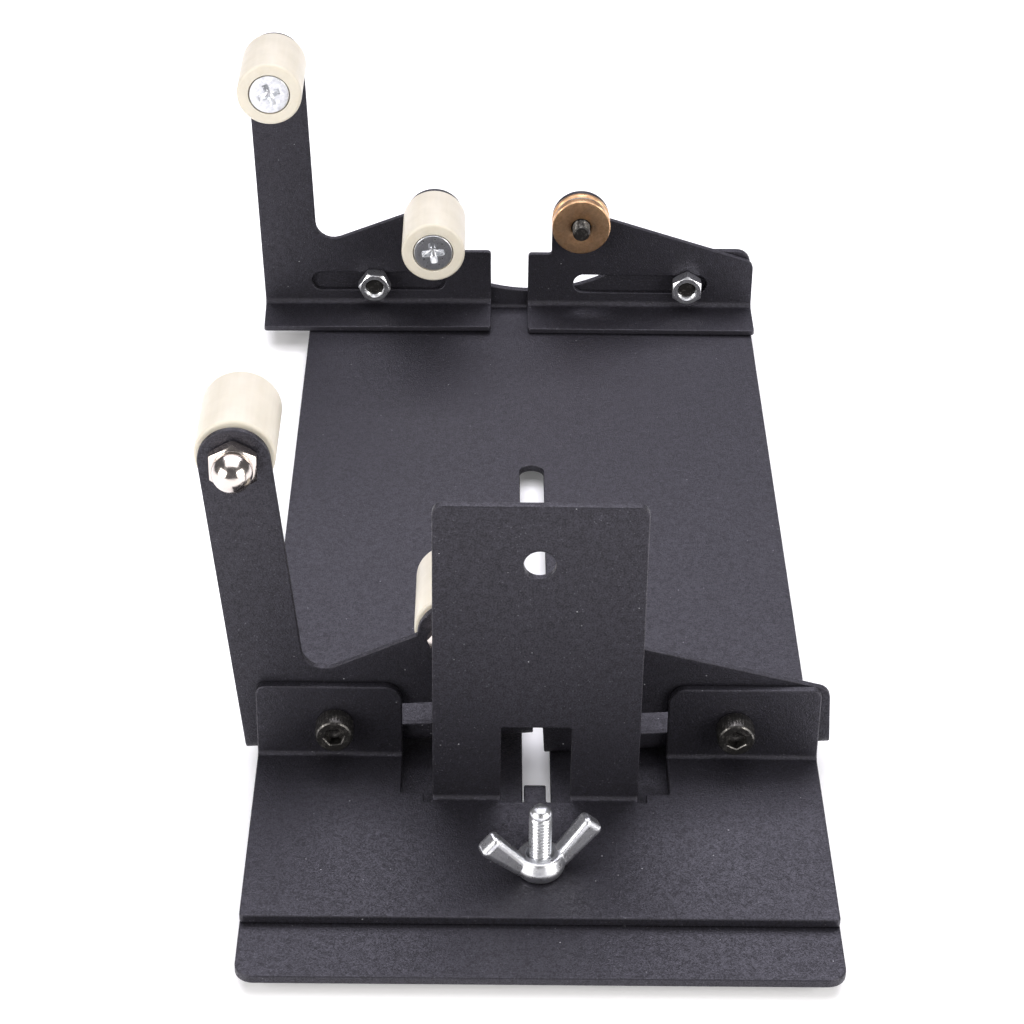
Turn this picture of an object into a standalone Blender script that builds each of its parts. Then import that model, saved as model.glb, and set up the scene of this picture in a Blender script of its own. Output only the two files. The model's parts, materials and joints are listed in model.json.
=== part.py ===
"""Adjustable roller stand bent from sheet steel: a slotted base, a sliding carriage with an
end stop, four slotted brackets and the rollers that they carry.

Run with: blender --background --python part.py
Units are metres. +X is the stand's right, +Y is its rear and +Z is up. The design frame has
x = 0 on the base's centreline, y = 0 at the base's front edge and z = 0 under the feet. The
empty stand_origin moves that frame so that the middle of the finished stand is at x = y = 0.
"""

import math

import bmesh
import bpy
from mathutils import Matrix, Vector

MM = 0.001
GAP = 0.2 * MM
WELD = 0.00001

# Middle of the finished stand in the design frame.
STAND_MIDDLE_X = -7.66 * MM
STAND_MIDDLE_Y = 147.2 * MM

# Sheets.
PLATE = 2.0 * MM
BRACKET_SHEET = 1.5 * MM
PLATE_BEND_INSIDE = 1.0 * MM
BRACKET_BEND_INSIDE = 1.5 * MM
BEND_STEPS = 4
CORNER_STEPS = 3
HOLE_SIDES = 18
ROUND_SIDES = 28
SMALL_SIDES = 16

# Base plate.
BASE_WIDTH = 125.0 * MM
BASE_LENGTH = 288.0 * MM
BASE_CORNER = 4.0 * MM
FOOT_HEIGHT = 3.2 * MM
FOOT_RADIUS = 6.0 * MM
FOOT_INSET = 14.0 * MM
BASE_TOP = FOOT_HEIGHT + PLATE
SLOT_X = -0.3 * MM
SLOT_WIDTH = 6.2 * MM
SLOT_FRONT = 20.0 * MM
SLOT_REAR = 199.0 * MM

# Upright tabs, alike on the base's rear edge and on the carriage.
TAB_TOP = 20.4 * MM
TAB_INNER_X = 29.5 * MM
TAB_HOLE_X = 44.4 * MM
TAB_HOLE_HEIGHT = 10.5 * MM
TAB_OUTER_CORNER = 2.0 * MM
TAB_INNER_CORNER = 4.0 * MM
FLANGE_LOW_TOP = 7.2 * MM
FLANGE_ARC_RADIUS = 46.0 * MM
M5_HOLE = 5.4 * MM
M6_HOLE = 6.4 * MM

# Carriage, its end stop and the key that runs in the base's slot. Its cut-outs lie a little
# off the middle of the plate, by PUNCH_OFFSET.
PUNCH_OFFSET = -0.7 * MM
CARRIAGE_FRONT = 16.1 * MM
CARRIAGE_TAB_FACE = 71.35 * MM
CARRIAGE_CORNER = 1.0 * MM
CUTOUT_FRONT = 57.8 * MM
RELIEF_FRONT = 54.8 * MM
RELIEF_OUTER_X = 24.4 * MM
STOP_WIDTH = 45.0 * MM
STOP_FACE = 56.0 * MM
STOP_TOP = 77.6 * MM
STOP_CORNER = 2.2 * MM
STOP_HOLE_HEIGHT = 63.1 * MM
STOP_HOLE = 6.8 * MM
NOTCH_WIDTH = 15.3 * MM
NOTCH_TOP = 21.1 * MM
KEY_WIDTH = 4.8 * MM
KEY_FACE = 62.6 * MM
KEY_DROP = 1.8 * MM
CLAMP_Y = 31.2 * MM

# Brackets. Their outlines are in x, along the bracket, and z, up from its underside.
BRACKET_WIDTH = 64.0 * MM
BRACKET_DEPTH = 16.0 * MM
BRACKET_SLOT_LENGTH = 38.0 * MM
BRACKET_SLOT_WIDTH = 5.6 * MM
BRACKET_SLOT_HEIGHT = 8.3 * MM
SHOULDER_TOP = 17.6 * MM
HEAD_RADIUS = 8.0 * MM
TALL_HEAD_RADIUS = 7.8 * MM
TALL_HEAD_HEIGHT = 75.9 * MM
ARM_LEAN = math.radians(2.0)
LOW_HEAD_X = 48.2 * MM
LOW_HEAD_HEIGHT = 28.8 * MM
CUTTER_HEAD_X = 14.6 * MM
CUTTER_HEAD_HEIGHT = 29.0 * MM
SLOPE_END = 15.6 * MM

# Where each bracket sits: the distance from its left end to its screw, how far its slot has
# risen on the screw, and how far it is turned on the screw. Its left end is the outer end of a
# left bracket and the inner end of a right one.
REAR_WEB_FACE = 284.3 * MM
REAR_LEFT_SCREW_AT = 30.9 * MM
REAR_RIGHT_SCREW_AT = 45.2 * MM
FRONT_LEFT_SCREW_AT = 20.4 * MM
FRONT_RIGHT_SCREW_AT = 42.7 * MM
REAR_LEFT_TILT = math.radians(0.6)
FRONT_LEFT_TILT = math.radians(4.1)
FRONT_RIGHT_TILT = math.radians(3.4)
REAR_LEFT_RISE = 0.2 * MM
REAR_RIGHT_RISE = 0.0 * MM
FRONT_LEFT_RISE = 0.0 * MM
FRONT_RIGHT_RISE = 0.25 * MM

# Rollers and the cutter wheel.
ROLLER_RADIUS = 8.7 * MM
ROLLER_LENGTH = 21.5 * MM
ROLLER_BORE = 6.4 * MM
ROLLER_EDGE = 0.6 * MM
ROLLER_PLAY = 0.3 * MM
ROLLER_GAP = 0.9 * MM
CUTTER_RADIUS = 8.15 * MM
CUTTER_FRONT_DISC = 2.9 * MM
CUTTER_REAR_DISC = 2.0 * MM
CUTTER_BLADE = 0.5 * MM
CUTTER_BORE = 5.6 * MM

# Fasteners.
M5_SHANK = 4.9 * MM
M6_SHANK = 5.9 * MM
SOCKET_HEAD = 8.5 * MM
SOCKET_HEAD_HEIGHT = 5.0 * MM
SOCKET_ACROSS = 4.0 * MM
SOCKET_DEPTH = 2.5 * MM
BRACKET_SCREW_LENGTH = 6.9 * MM
M5_NUT_ACROSS = 8.0 * MM
M5_NUT_HEIGHT = 4.0 * MM
NUT_BORE = 5.2 * MM
CAP_NUT_ACROSS = 10.0 * MM
CAP_NUT_HEX = 3.0 * MM
CAP_NUT_DOME = 4.4 * MM
CAP_NUT_LENGTH = 8.4 * MM
CAP_NUT_BORE = 6.1 * MM
CAP_NUT_BORE_DEPTH = 5.5 * MM
CSK_HEAD = 10.6 * MM
CSK_RIM = 0.5 * MM
CSK_SCREW_LENGTH = 29.0 * MM
CUTTER_SCREW_REACH = 11.5 * MM
CLAMP_HEAD = 12.0 * MM
CLAMP_HEAD_HEIGHT = 2.4 * MM
CLAMP_NECK = 4.9 * MM
CLAMP_TIP = 24.8 * MM
WING_HUB_BOTTOM = 11.0 * MM
WING_HUB_TOP = 9.0 * MM
WING_HUB_HEIGHT = 5.0 * MM
WING_SPAN = 27.6 * MM
WING_HEIGHT = 12.5 * MM
WING_WIDTH = 5.4 * MM
WING_THICKNESS = 4.2 * MM
WING_TURN = math.radians(19.5)

# Colours, roughness and metallic value of each finish.
FINISHES = {
    "black_powder_coat": ((0.045, 0.044, 0.05), 0.55, 0.0),
    "ivory_nylon": ((0.87, 0.80, 0.68), 0.45, 0.0),
    "zinc": ((0.72, 0.72, 0.71), 0.3, 1.0),
    "nickel": ((0.75, 0.70, 0.66), 0.18, 1.0),
    "black_oxide": ((0.06, 0.06, 0.06), 0.4, 0.6),
    "brass": ((0.62, 0.42, 0.24), 0.35, 1.0),
    "hard_steel": ((0.45, 0.45, 0.46), 0.35, 1.0),
    "black_rubber": ((0.03, 0.03, 0.03), 0.8, 0.0),
}


def clear_scene():
    """Remove what the startup scene holds."""
    for thing in list(bpy.data.objects):
        bpy.data.objects.remove(thing)


def new_collection(name):
    collection = bpy.data.collections.new(name)
    bpy.context.scene.collection.children.link(collection)
    return collection


def make_material(name, finish):
    colour, roughness, metallic = FINISHES[finish]
    material = bpy.data.materials.new(name)
    material.use_nodes = True
    shader = material.node_tree.nodes["Principled BSDF"]
    shader.inputs["Base Color"].default_value = (*colour, 1.0)
    shader.inputs["Roughness"].default_value = roughness
    shader.inputs["Metallic"].default_value = metallic
    return material


def circle(x, y, diameter, sides=HOLE_SIDES):
    """Points round a circle."""
    points = []
    for i in range(sides):
        angle = 2 * math.pi * (i + 0.5) / sides
        points.append((x + diameter / 2 * math.cos(angle), y + diameter / 2 * math.sin(angle)))
    return points


def arc(x, y, radius, start, end, steps):
    """Points along an arc, both ends included. Angles are in degrees."""
    points = []
    for i in range(steps + 1):
        angle = math.radians(start + (end - start) * i / steps)
        points.append((x + radius * math.cos(angle), y + radius * math.sin(angle)))
    return points


def slot(x, y, length, width, sideways=True):
    """A round-ended slot centred on x, y."""
    straight = (length - width) / 2
    if sideways:
        right = arc(x + straight, y, width / 2, -90, 90, HOLE_SIDES // 3)
        left = arc(x - straight, y, width / 2, 90, 270, HOLE_SIDES // 3)
        return right + left
    top = arc(x, y + straight, width / 2, 0, 180, HOLE_SIDES // 3)
    bottom = arc(x, y - straight, width / 2, 180, 360, HOLE_SIDES // 3)
    return top + bottom


def rounded(corners):
    """An outline from (x, y, radius) corners: each corner becomes an arc tangent to both sides."""
    outline = []
    for i, (x, y, radius) in enumerate(corners):
        here = Vector((x, y))
        before = (Vector(corners[i - 1][:2]) - here).normalized()
        after = (Vector(corners[(i + 1) % len(corners)][:2]) - here).normalized()
        if radius == 0:
            outline.append((x, y))
            continue
        half = before.angle(after) / 2
        centre = here + (before + after).normalized() * (radius / math.sin(half))
        first = here + before * (radius / math.tan(half)) - centre
        last = here + after * (radius / math.tan(half)) - centre
        turn = first.angle_signed(last)
        for k in range(CORNER_STEPS + 1):
            spoke = first.copy()
            spoke.rotate(Matrix.Rotation(-turn * k / CORNER_STEPS, 2))
            outline.append(tuple(centre + spoke))
    return outline


def sheet_mesh(loops, thickness):
    """A flat sheet from z = 0 to its thickness, as a bmesh. The first loop is its edge."""
    curve = bpy.data.curves.new("outline", "CURVE")
    curve.dimensions = "2D"
    curve.fill_mode = "BOTH"
    curve.extrude = thickness / 2
    for loop in loops:
        spline = curve.splines.new("POLY")
        spline.points.add(len(loop) - 1)
        for point, (x, y) in zip(spline.points, loop):
            point.co = (x, y, 0, 1)
        spline.use_cyclic_u = True
    guide = bpy.data.objects.new("outline", curve)
    bpy.context.scene.collection.objects.link(guide)
    graph = bpy.context.evaluated_depsgraph_get()
    mesh = bpy.data.meshes.new_from_object(guide.evaluated_get(graph))
    bpy.data.objects.remove(guide)
    sheet = bmesh.new()
    sheet.from_mesh(mesh)
    bmesh.ops.remove_doubles(sheet, verts=sheet.verts, dist=WELD)
    bmesh.ops.translate(sheet, verts=sheet.verts, vec=(0, 0, thickness / 2))
    bmesh.ops.recalc_face_normals(sheet, faces=sheet.faces)
    return sheet


def folded_reach(height, inside):
    """How far along the flat sheet an edge lies that ends this far above the bend's outside."""
    return math.pi / 2 * inside + height


def fold(sheet, start, inside, thickness, keep, up=True):
    """Bend the points beyond y = start by a right angle, where keep(point) is true."""
    outside = inside + thickness
    arc_length = math.pi / 2 * inside
    for i in range(BEND_STEPS + 1):
        at = start + arc_length * i / BEND_STEPS
        faces = [f for f in sheet.faces if any(keep(v.co) for v in f.verts)]
        around = {e for f in faces for e in f.edges} | {v for f in faces for v in f.verts}
        bmesh.ops.bisect_plane(
            sheet,
            geom=faces + list(around),
            dist=WELD / 100,
            plane_co=(0, at, 0),
            plane_no=(0, 1, 0),
        )
    for vertex in sheet.verts:
        along = vertex.co.y - start
        if along <= 0 or not keep(vertex.co):
            continue
        depth = vertex.co.z if up else thickness - vertex.co.z
        angle = min(along / inside, math.pi / 2)
        beyond = max(along - arc_length, 0)
        height = outside - (outside - depth) * math.cos(angle) + beyond
        vertex.co.y = start + (outside - depth) * math.sin(angle)
        vertex.co.z = height if up else thickness - height


def add_part(name, shape, finish, collection, parent=None, smooth=None):
    """Make an object from a bmesh, with its own material, under its parent empty."""
    mesh = bpy.data.meshes.new(name)
    shape.to_mesh(mesh)
    shape.free()
    part = bpy.data.objects.new(name, mesh)
    part.data.materials.append(make_material(name, finish))
    collection.objects.link(part)
    if parent:
        part.parent = parent
    if smooth:
        mesh.shade_smooth()
        mesh.set_sharp_from_angle(angle=math.radians(smooth))
    return part


def empty(name, parent=None, location=(0, 0, 0), turn=None):
    """An empty that stands for a frame: the stand's own, or a joint's."""
    node = bpy.data.objects.new(name, None)
    bpy.context.scene.collection.objects.link(node)
    node.parent = parent
    node.location = location
    if turn:
        node.rotation_euler = turn
    return node


def turned(name, profile, finish, collection, ring=False, sides=ROUND_SIDES):
    """A solid turned about its Z axis from (radius, z) points, outer side from top to bottom."""
    lathe = bmesh.new()
    points = [lathe.verts.new((radius, 0, z)) for radius, z in profile]
    pairs = list(zip(points, points[1:]))
    if ring:
        pairs.append((points[-1], points[0]))
    for first, second in pairs:
        lathe.edges.new((first, second))
    part = add_part(name, lathe, finish, collection)
    screw = part.modifiers.new("Turn", "SCREW")
    screw.axis = "Z"
    screw.steps = sides
    screw.render_steps = sides
    screw.use_merge_vertices = True
    screw.merge_threshold = WELD
    return part


def hexagon(across):
    """A hexagon's outline from its width across the flats, with a corner at the top."""
    radius = across / math.sqrt(3)
    return [
        (radius * math.sin(i * math.pi / 3), radius * math.cos(i * math.pi / 3))
        for i in range(6)
    ]


def prism(name, outline, z, height, collection):
    """A cutter: an outline raised from z by its height."""
    shape = sheet_mesh([outline], height)
    bmesh.ops.translate(shape, verts=shape.verts, vec=(0, 0, z))
    return as_tool(add_part(name, shape, "zinc", collection))


def as_tool(part):
    """Keep a helper out of renders, for use in a Boolean."""
    part.hide_render = True
    part.display_type = "WIRE"
    return part


def boolean(part, tool, operation):
    step = part.modifiers.new(operation.title(), "BOOLEAN")
    step.operation = operation
    step.solver = "EXACT"
    step.object = tool
    tool.parent = part


# The two directions that a turned piece can point, from its z = 0 end: to the rear or the front.
TO_REAR = (-math.pi / 2, 0, 0)
TO_FRONT = (math.pi / 2, 0, 0)


def place(part, parent, location, turn=(0, 0, 0)):
    part.parent = parent
    part.location = location
    part.rotation_euler = turn


def base_plate(parts, stand):
    """The slotted base. Its rear edge is bent up into two tabs with a wide arc between them."""
    bend = BASE_LENGTH - PLATE - PLATE_BEND_INSIDE
    top = bend + folded_reach(TAB_TOP - PLATE - PLATE_BEND_INSIDE, PLATE_BEND_INSIDE)
    drop = TAB_TOP - FLANGE_LOW_TOP
    low = top - drop
    arc_half = math.degrees(math.acos(1 - drop / FLANGE_ARC_RADIUS))
    saddle = arc(0, low + FLANGE_ARC_RADIUS, FLANGE_ARC_RADIUS, 270 + arc_half, 270 - arc_half, 16)
    half = BASE_WIDTH / 2
    side = rounded(
        [
            (0, 0, 0),
            (half, 0, BASE_CORNER),
            (half, top, TAB_OUTER_CORNER + 2 * MM),
            (0, top, 0),
        ]
    )[1:-1]
    other = [(-x, y) for x, y in reversed(side)]
    hole_at = bend + folded_reach(TAB_HOLE_HEIGHT - PLATE - PLATE_BEND_INSIDE, PLATE_BEND_INSIDE)
    loops = [
        side + saddle + other,
        slot(SLOT_X, (SLOT_FRONT + SLOT_REAR) / 2, SLOT_REAR - SLOT_FRONT, SLOT_WIDTH, False),
        circle(-TAB_HOLE_X, hole_at, M5_HOLE),
        circle(TAB_HOLE_X, hole_at, M5_HOLE),
    ]
    sheet = sheet_mesh(loops, PLATE)
    fold(sheet, bend, PLATE_BEND_INSIDE, PLATE, lambda point: True)
    plate = add_part("base_plate", sheet, "black_powder_coat", parts)
    place(plate, stand, (0, 0, FOOT_HEIGHT))


def feet(parts, stand):
    """Four rubber feet under the base's corners."""
    x = BASE_WIDTH / 2 - FOOT_INSET
    height = FOOT_HEIGHT - GAP
    spots = {
        "front_left": (-x, FOOT_INSET),
        "front_right": (x, FOOT_INSET),
        "rear_left": (-x, BASE_LENGTH - FOOT_INSET),
        "rear_right": (x, BASE_LENGTH - FOOT_INSET),
    }
    for corner, (foot_x, foot_y) in spots.items():
        profile = [(0, height), (FOOT_RADIUS, height), (FOOT_RADIUS - 0.8 * MM, 0), (0, 0)]
        foot = turned("foot_" + corner, profile, "black_rubber", parts, sides=SMALL_SIDES)
        place(foot, stand, (foot_x, foot_y, 0))


def carriage_plate(parts, carriage):
    """The sliding plate: two tabs, the end stop and the slot key, all bent from one sheet."""
    inside = PLATE_BEND_INSIDE
    tab_bend = CARRIAGE_TAB_FACE - inside
    stop_bend = STOP_FACE - inside
    key_bend = KEY_FACE - inside - PLATE
    outside = PLATE + inside
    tab_top = tab_bend + folded_reach(TAB_TOP - outside, inside)
    hole_at = tab_bend + folded_reach(TAB_HOLE_HEIGHT - outside, inside)
    stop_top = stop_bend + folded_reach(STOP_TOP - outside, inside)
    stop_hole = stop_bend + folded_reach(STOP_HOLE_HEIGHT - outside, inside)
    notch_top = stop_bend + folded_reach(NOTCH_TOP - outside, inside)
    key_end = key_bend + folded_reach(PLATE + KEY_DROP - outside, inside)
    half = BASE_WIDTH / 2
    inner = [
        (TAB_INNER_X, tab_top, TAB_INNER_CORNER),
        (TAB_INNER_X, CUTOUT_FRONT, 0),
        (RELIEF_OUTER_X, CUTOUT_FRONT, 0),
        (RELIEF_OUTER_X, RELIEF_FRONT, 0),
        (STOP_WIDTH / 2, RELIEF_FRONT, 0),
        (STOP_WIDTH / 2, stop_top, STOP_CORNER),
    ]
    right = [(half, CARRIAGE_FRONT, CARRIAGE_CORNER), (half, tab_top, TAB_OUTER_CORNER)]
    right += [(x + PUNCH_OFFSET, y, radius) for x, y, radius in inner]
    left = [(PUNCH_OFFSET - x, y, radius) for x, y, radius in reversed(inner)]
    left += [(-half, tab_top, TAB_OUTER_CORNER), (-half, CARRIAGE_FRONT, CARRIAGE_CORNER)]
    notch = NOTCH_WIDTH / 2
    key = KEY_WIDTH / 2
    window = [
        (-notch, RELIEF_FRONT),
        (-key, RELIEF_FRONT),
        (-key, key_end),
        (key, key_end),
        (key, RELIEF_FRONT),
        (notch, RELIEF_FRONT),
        (notch, notch_top),
        (-notch, notch_top),
    ]
    loops = [
        rounded(right + left),
        [(x + PUNCH_OFFSET, y) for x, y in window],
        circle(PUNCH_OFFSET, stop_hole, STOP_HOLE),
        circle(0, CLAMP_Y, M5_HOLE),
        circle(PUNCH_OFFSET - TAB_HOLE_X, hole_at, M5_HOLE),
        circle(PUNCH_OFFSET + TAB_HOLE_X, hole_at, M5_HOLE),
    ]
    sheet = sheet_mesh(loops, PLATE)
    key_side = (notch + key) / 2
    stop_side = (STOP_WIDTH / 2 + RELIEF_OUTER_X) / 2
    tab_side = (TAB_INNER_X + RELIEF_OUTER_X) / 2

    def in_tab(point):
        return abs(point.x - PUNCH_OFFSET) > tab_side

    def in_key(point):
        return abs(point.x - PUNCH_OFFSET) < key_side and point.y < key_end + WELD

    def in_stop(point):
        return abs(point.x - PUNCH_OFFSET) < stop_side and not in_key(point)

    fold(sheet, tab_bend, inside, PLATE, in_tab)
    fold(sheet, stop_bend, inside, PLATE, in_stop)
    fold(sheet, key_bend, inside, PLATE, in_key, up=False)
    plate = add_part("carriage_plate", sheet, "black_powder_coat", parts)
    place(plate, carriage, (0, 0, BASE_TOP + GAP))


def web_height(z):
    """Where on the flat bracket a point lies that ends z above the bracket's underside."""
    outside = BRACKET_SHEET + BRACKET_BEND_INSIDE
    bend = BRACKET_DEPTH - outside
    return bend + folded_reach(z - outside, BRACKET_BEND_INSIDE)


def arm_outline():
    """The bracket with the tall arm at its outer end, x = 0, and the low head beyond it."""
    lean = math.degrees(ARM_LEAN)
    tall_x = TALL_HEAD_RADIUS / math.cos(ARM_LEAN) - TALL_HEAD_HEIGHT * math.tan(ARM_LEAN)
    tall = arc(tall_x, TALL_HEAD_HEIGHT, TALL_HEAD_RADIUS, lean, lean + 180, 14)
    low = arc(LOW_HEAD_X, LOW_HEAD_HEIGHT, HEAD_RADIUS, 0, 176, 14)
    inner_foot = (14.8 * MM, 19.6 * MM)
    slope_top = (LOW_HEAD_X - HEAD_RADIUS, LOW_HEAD_HEIGHT + 0.6 * MM)
    corners = [(0, -1, 0)]
    corners += [(BRACKET_WIDTH, -1, 0), (BRACKET_WIDTH, SHOULDER_TOP, 1.0 * MM)]
    corners += [(LOW_HEAD_X + HEAD_RADIUS, SHOULDER_TOP, 0.8 * MM)]
    corners += [(x, z, 0) for x, z in low]
    corners += [(*slope_top, 0), (*inner_foot, 5.0 * MM)]
    corners += [(x, z, 0) for x, z in tall]
    return corners, [(tall_x, TALL_HEAD_HEIGHT), (LOW_HEAD_X, LOW_HEAD_HEIGHT)]


def slope_outline():
    """The bracket with one head near its inner end, x = 0, and a slope down to its outer end."""
    head = arc(CUTTER_HEAD_X, CUTTER_HEAD_HEIGHT, HEAD_RADIUS, -2, 180, 14)
    corners = [(0, -1, 0), (BRACKET_WIDTH, -1, 0), (BRACKET_WIDTH, SLOPE_END, 3.0 * MM)]
    corners += [(x, z, 0) for x, z in head]
    corners += [(CUTTER_HEAD_X - HEAD_RADIUS, SHOULDER_TOP, 0.8 * MM)]
    corners += [(0, SHOULDER_TOP, 1.0 * MM)]
    return corners, [(CUTTER_HEAD_X, CUTTER_HEAD_HEIGHT)]


def bracket(name, outline, holes, hole_size, mirrored, parts):
    """An L bracket. Its web's outer face is at y = BRACKET_DEPTH and its foot runs to y = 0."""
    corners = []
    for x, z, radius in outline:
        corners.append((x, 0, 1.0 * MM) if z < 0 else (x, web_height(z), radius))
    loops = [rounded(corners)]
    middle = web_height(BRACKET_SLOT_HEIGHT)
    loops.append(slot(BRACKET_WIDTH / 2, middle, BRACKET_SLOT_LENGTH, BRACKET_SLOT_WIDTH))
    loops += [circle(x, web_height(z), hole_size) for x, z in holes]
    if mirrored:
        loops = [[(-x, y) for x, y in reversed(loop)] for loop in loops]
    sheet = sheet_mesh(loops, BRACKET_SHEET)
    bend = BRACKET_DEPTH - BRACKET_SHEET - BRACKET_BEND_INSIDE
    fold(sheet, bend, BRACKET_BEND_INSIDE, BRACKET_SHEET, lambda point: True)
    return add_part(name, sheet, "black_powder_coat", parts)


def socket_screw(name, length, parts, cutters):
    """A socket head cap screw, its head's underside at z = 0 and its shank along +z."""
    head = SOCKET_HEAD / 2
    profile = [(0, length), (M5_SHANK / 2 - 0.5 * MM, length), (M5_SHANK / 2, length - 0.5 * MM)]
    profile += [(M5_SHANK / 2, 0), (head, 0), (head, 0.4 * MM - SOCKET_HEAD_HEIGHT)]
    profile += [(head - 0.4 * MM, -SOCKET_HEAD_HEIGHT), (0, -SOCKET_HEAD_HEIGHT)]
    screw = turned(name, profile, "black_oxide", parts, sides=SMALL_SIDES)
    depth = SOCKET_DEPTH + 1 * MM
    tool = prism(name + "_socket", hexagon(SOCKET_ACROSS), -SOCKET_HEAD_HEIGHT - 1 * MM, depth, cutters)
    boolean(screw, tool, "DIFFERENCE")
    return screw


def hex_nut(name, parts):
    """A plain hexagon nut from z = 0 upward."""
    loops = [hexagon(M5_NUT_ACROSS), circle(0, 0, NUT_BORE)]
    return add_part(name, sheet_mesh(loops, M5_NUT_HEIGHT), "zinc", parts)


def cap_nut(name, parts, cutters):
    """A domed cap nut, its seat at z = 0, its dome along +z, with a blind threaded bore."""
    dome = CAP_NUT_DOME
    centre = CAP_NUT_LENGTH - dome
    profile = []
    for degrees in range(0, 91, 15):
        angle = math.radians(degrees)
        profile.append((dome * math.sin(angle), centre + dome * math.cos(angle)))
    profile += [(dome, CAP_NUT_HEX - 1 * MM), (0, CAP_NUT_HEX - 1 * MM)]
    cap = turned(name + "_dome", profile, "nickel", cutters, sides=SMALL_SIDES)
    as_tool(cap)
    nut = add_part(name, sheet_mesh([hexagon(CAP_NUT_ACROSS)], CAP_NUT_HEX), "nickel", parts)
    boolean(nut, cap, "UNION")
    inside = circle(0, 0, CAP_NUT_BORE, SMALL_SIDES)
    bore = prism(name + "_bore", inside, -1 * MM, CAP_NUT_BORE_DEPTH + 1 * MM, cutters)
    boolean(nut, bore, "DIFFERENCE")
    return nut


def countersunk_screw(name, parts):
    """A countersunk screw, its flat head face at z = 0 and its shank along +z."""
    shank = M6_SHANK / 2
    cone = CSK_RIM + CSK_HEAD / 2 - shank
    profile = [(0, CSK_SCREW_LENGTH), (shank - 0.6 * MM, CSK_SCREW_LENGTH)]
    profile += [(shank, CSK_SCREW_LENGTH - 0.6 * MM), (shank, cone)]
    profile += [(CSK_HEAD / 2, CSK_RIM), (CSK_HEAD / 2, 0), (0, 0)]
    return turned(name, profile, "zinc", parts, sides=SMALL_SIDES)


def roller_body(name, parts):
    """A nylon roller, its countersunk end at z = 0 and its plain end at z = ROLLER_LENGTH."""
    outer = ROLLER_RADIUS
    bore = ROLLER_BORE / 2
    mouth = CSK_HEAD / 2 + ROLLER_PLAY
    sink = CSK_RIM + ROLLER_PLAY
    profile = [(bore, ROLLER_LENGTH), (outer - ROLLER_EDGE, ROLLER_LENGTH)]
    profile += [(outer, ROLLER_LENGTH - ROLLER_EDGE), (outer, ROLLER_EDGE)]
    profile += [(outer - ROLLER_EDGE, 0), (mouth, 0), (mouth, sink), (bore, sink + mouth - bore)]
    return turned(name, profile, "ivory_nylon", parts, ring=True)


def roller(name, holder, x, z, side, parts, cutters):
    """A roller with its screw and cap nut. side is -1 if its free end faces the front."""
    free_end = side * (ROLLER_LENGTH + ROLLER_GAP)
    turn = TO_REAR if side < 0 else TO_FRONT
    axle = empty(name + "_axis", holder, (x, free_end, z))
    spinning = roller_body(name, parts)
    place(spinning, axle, (0, 0, 0), turn)
    screw = countersunk_screw(name + "_screw", parts)
    place(screw, holder, (x, free_end, z), turn)
    nut = cap_nut(name + "_cap_nut", parts, cutters)
    place(nut, holder, (x, -side * (BRACKET_SHEET + GAP), z), turn)


def cutter_wheel(holder, x, z, parts, cutters):
    """Two brass discs with a thin hard disc between them, turning on an M5 socket screw."""
    axle = empty("cutter_axis", holder, (x, 0, z))
    bore = CUTTER_BORE / 2
    lip = 0.3 * MM
    at = -ROLLER_PLAY
    gap = 0.1 * MM
    stack = [
        ("cutter_rear_disc", CUTTER_REAR_DISC, CUTTER_RADIUS, "brass"),
        ("cutter_blade", CUTTER_BLADE, CUTTER_RADIUS - 0.3 * MM, "hard_steel"),
        ("cutter_front_disc", CUTTER_FRONT_DISC, CUTTER_RADIUS, "brass"),
    ]
    for name, width, outer, finish in stack:
        edge = lip if finish == "brass" else 0.2 * MM
        profile = [(bore, width), (outer - edge, width), (outer, width - edge)]
        profile += [(outer, edge), (outer - edge, 0), (bore, 0)]
        disc = turned(name, profile, finish, parts, ring=True)
        at -= width
        place(disc, axle, (0, at, 0), TO_REAR)
        at -= gap
    screw = socket_screw("cutter_axle_screw", CUTTER_SCREW_REACH, parts, cutters)
    place(screw, holder, (x, BRACKET_SHEET + GAP, z), TO_FRONT)


def bracket_with_rollers(spot, row, side, screw_at, rise, tilt, joint, parts, cutters):
    """One bracket on its screw, and what it carries.

    row is "rear" or "front": a rear bracket's foot and rollers point to the front, and a
    front bracket's to the rear. side is -1 on the left and 1 on the right. The joint's empty
    is on the screw's axis, on the web's face away from the rollers.
    """
    tilt_frame = empty(spot + "_bracket_tilt", joint, (0, 0, 0), (0, -tilt, 0))
    front_row = row == "front"
    outline, heads = arm_outline() if side < 0 else slope_outline()
    at = (-screw_at, 0, rise - BRACKET_SLOT_HEIGHT)
    holder = empty(spot + "_bracket_frame", tilt_frame, at)
    is_cutter = spot == "rear_right"
    hole = M5_HOLE if is_cutter else M6_HOLE
    sheet = bracket(spot + "_bracket", outline, heads, hole, front_row, parts)
    if front_row:
        place(sheet, holder, (0, BRACKET_DEPTH, 0), (0, 0, math.pi))
        roller_face, reach = BRACKET_SHEET, 1
    else:
        place(sheet, holder, (0, -BRACKET_DEPTH, 0))
        roller_face, reach = -BRACKET_SHEET, -1
    face = empty(spot + "_roller_face", holder, (0, roller_face, 0))
    names = {2: ["upper", "lower"], 1: [""]}[len(heads)]
    for level, (x, z) in zip(names, heads):
        if is_cutter:
            cutter_wheel(face, x, z, parts, cutters)
        else:
            name = "_".join(filter(None, [spot, level, "roller"]))
            roller(name, face, x, z, reach, parts, cutters)


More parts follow.
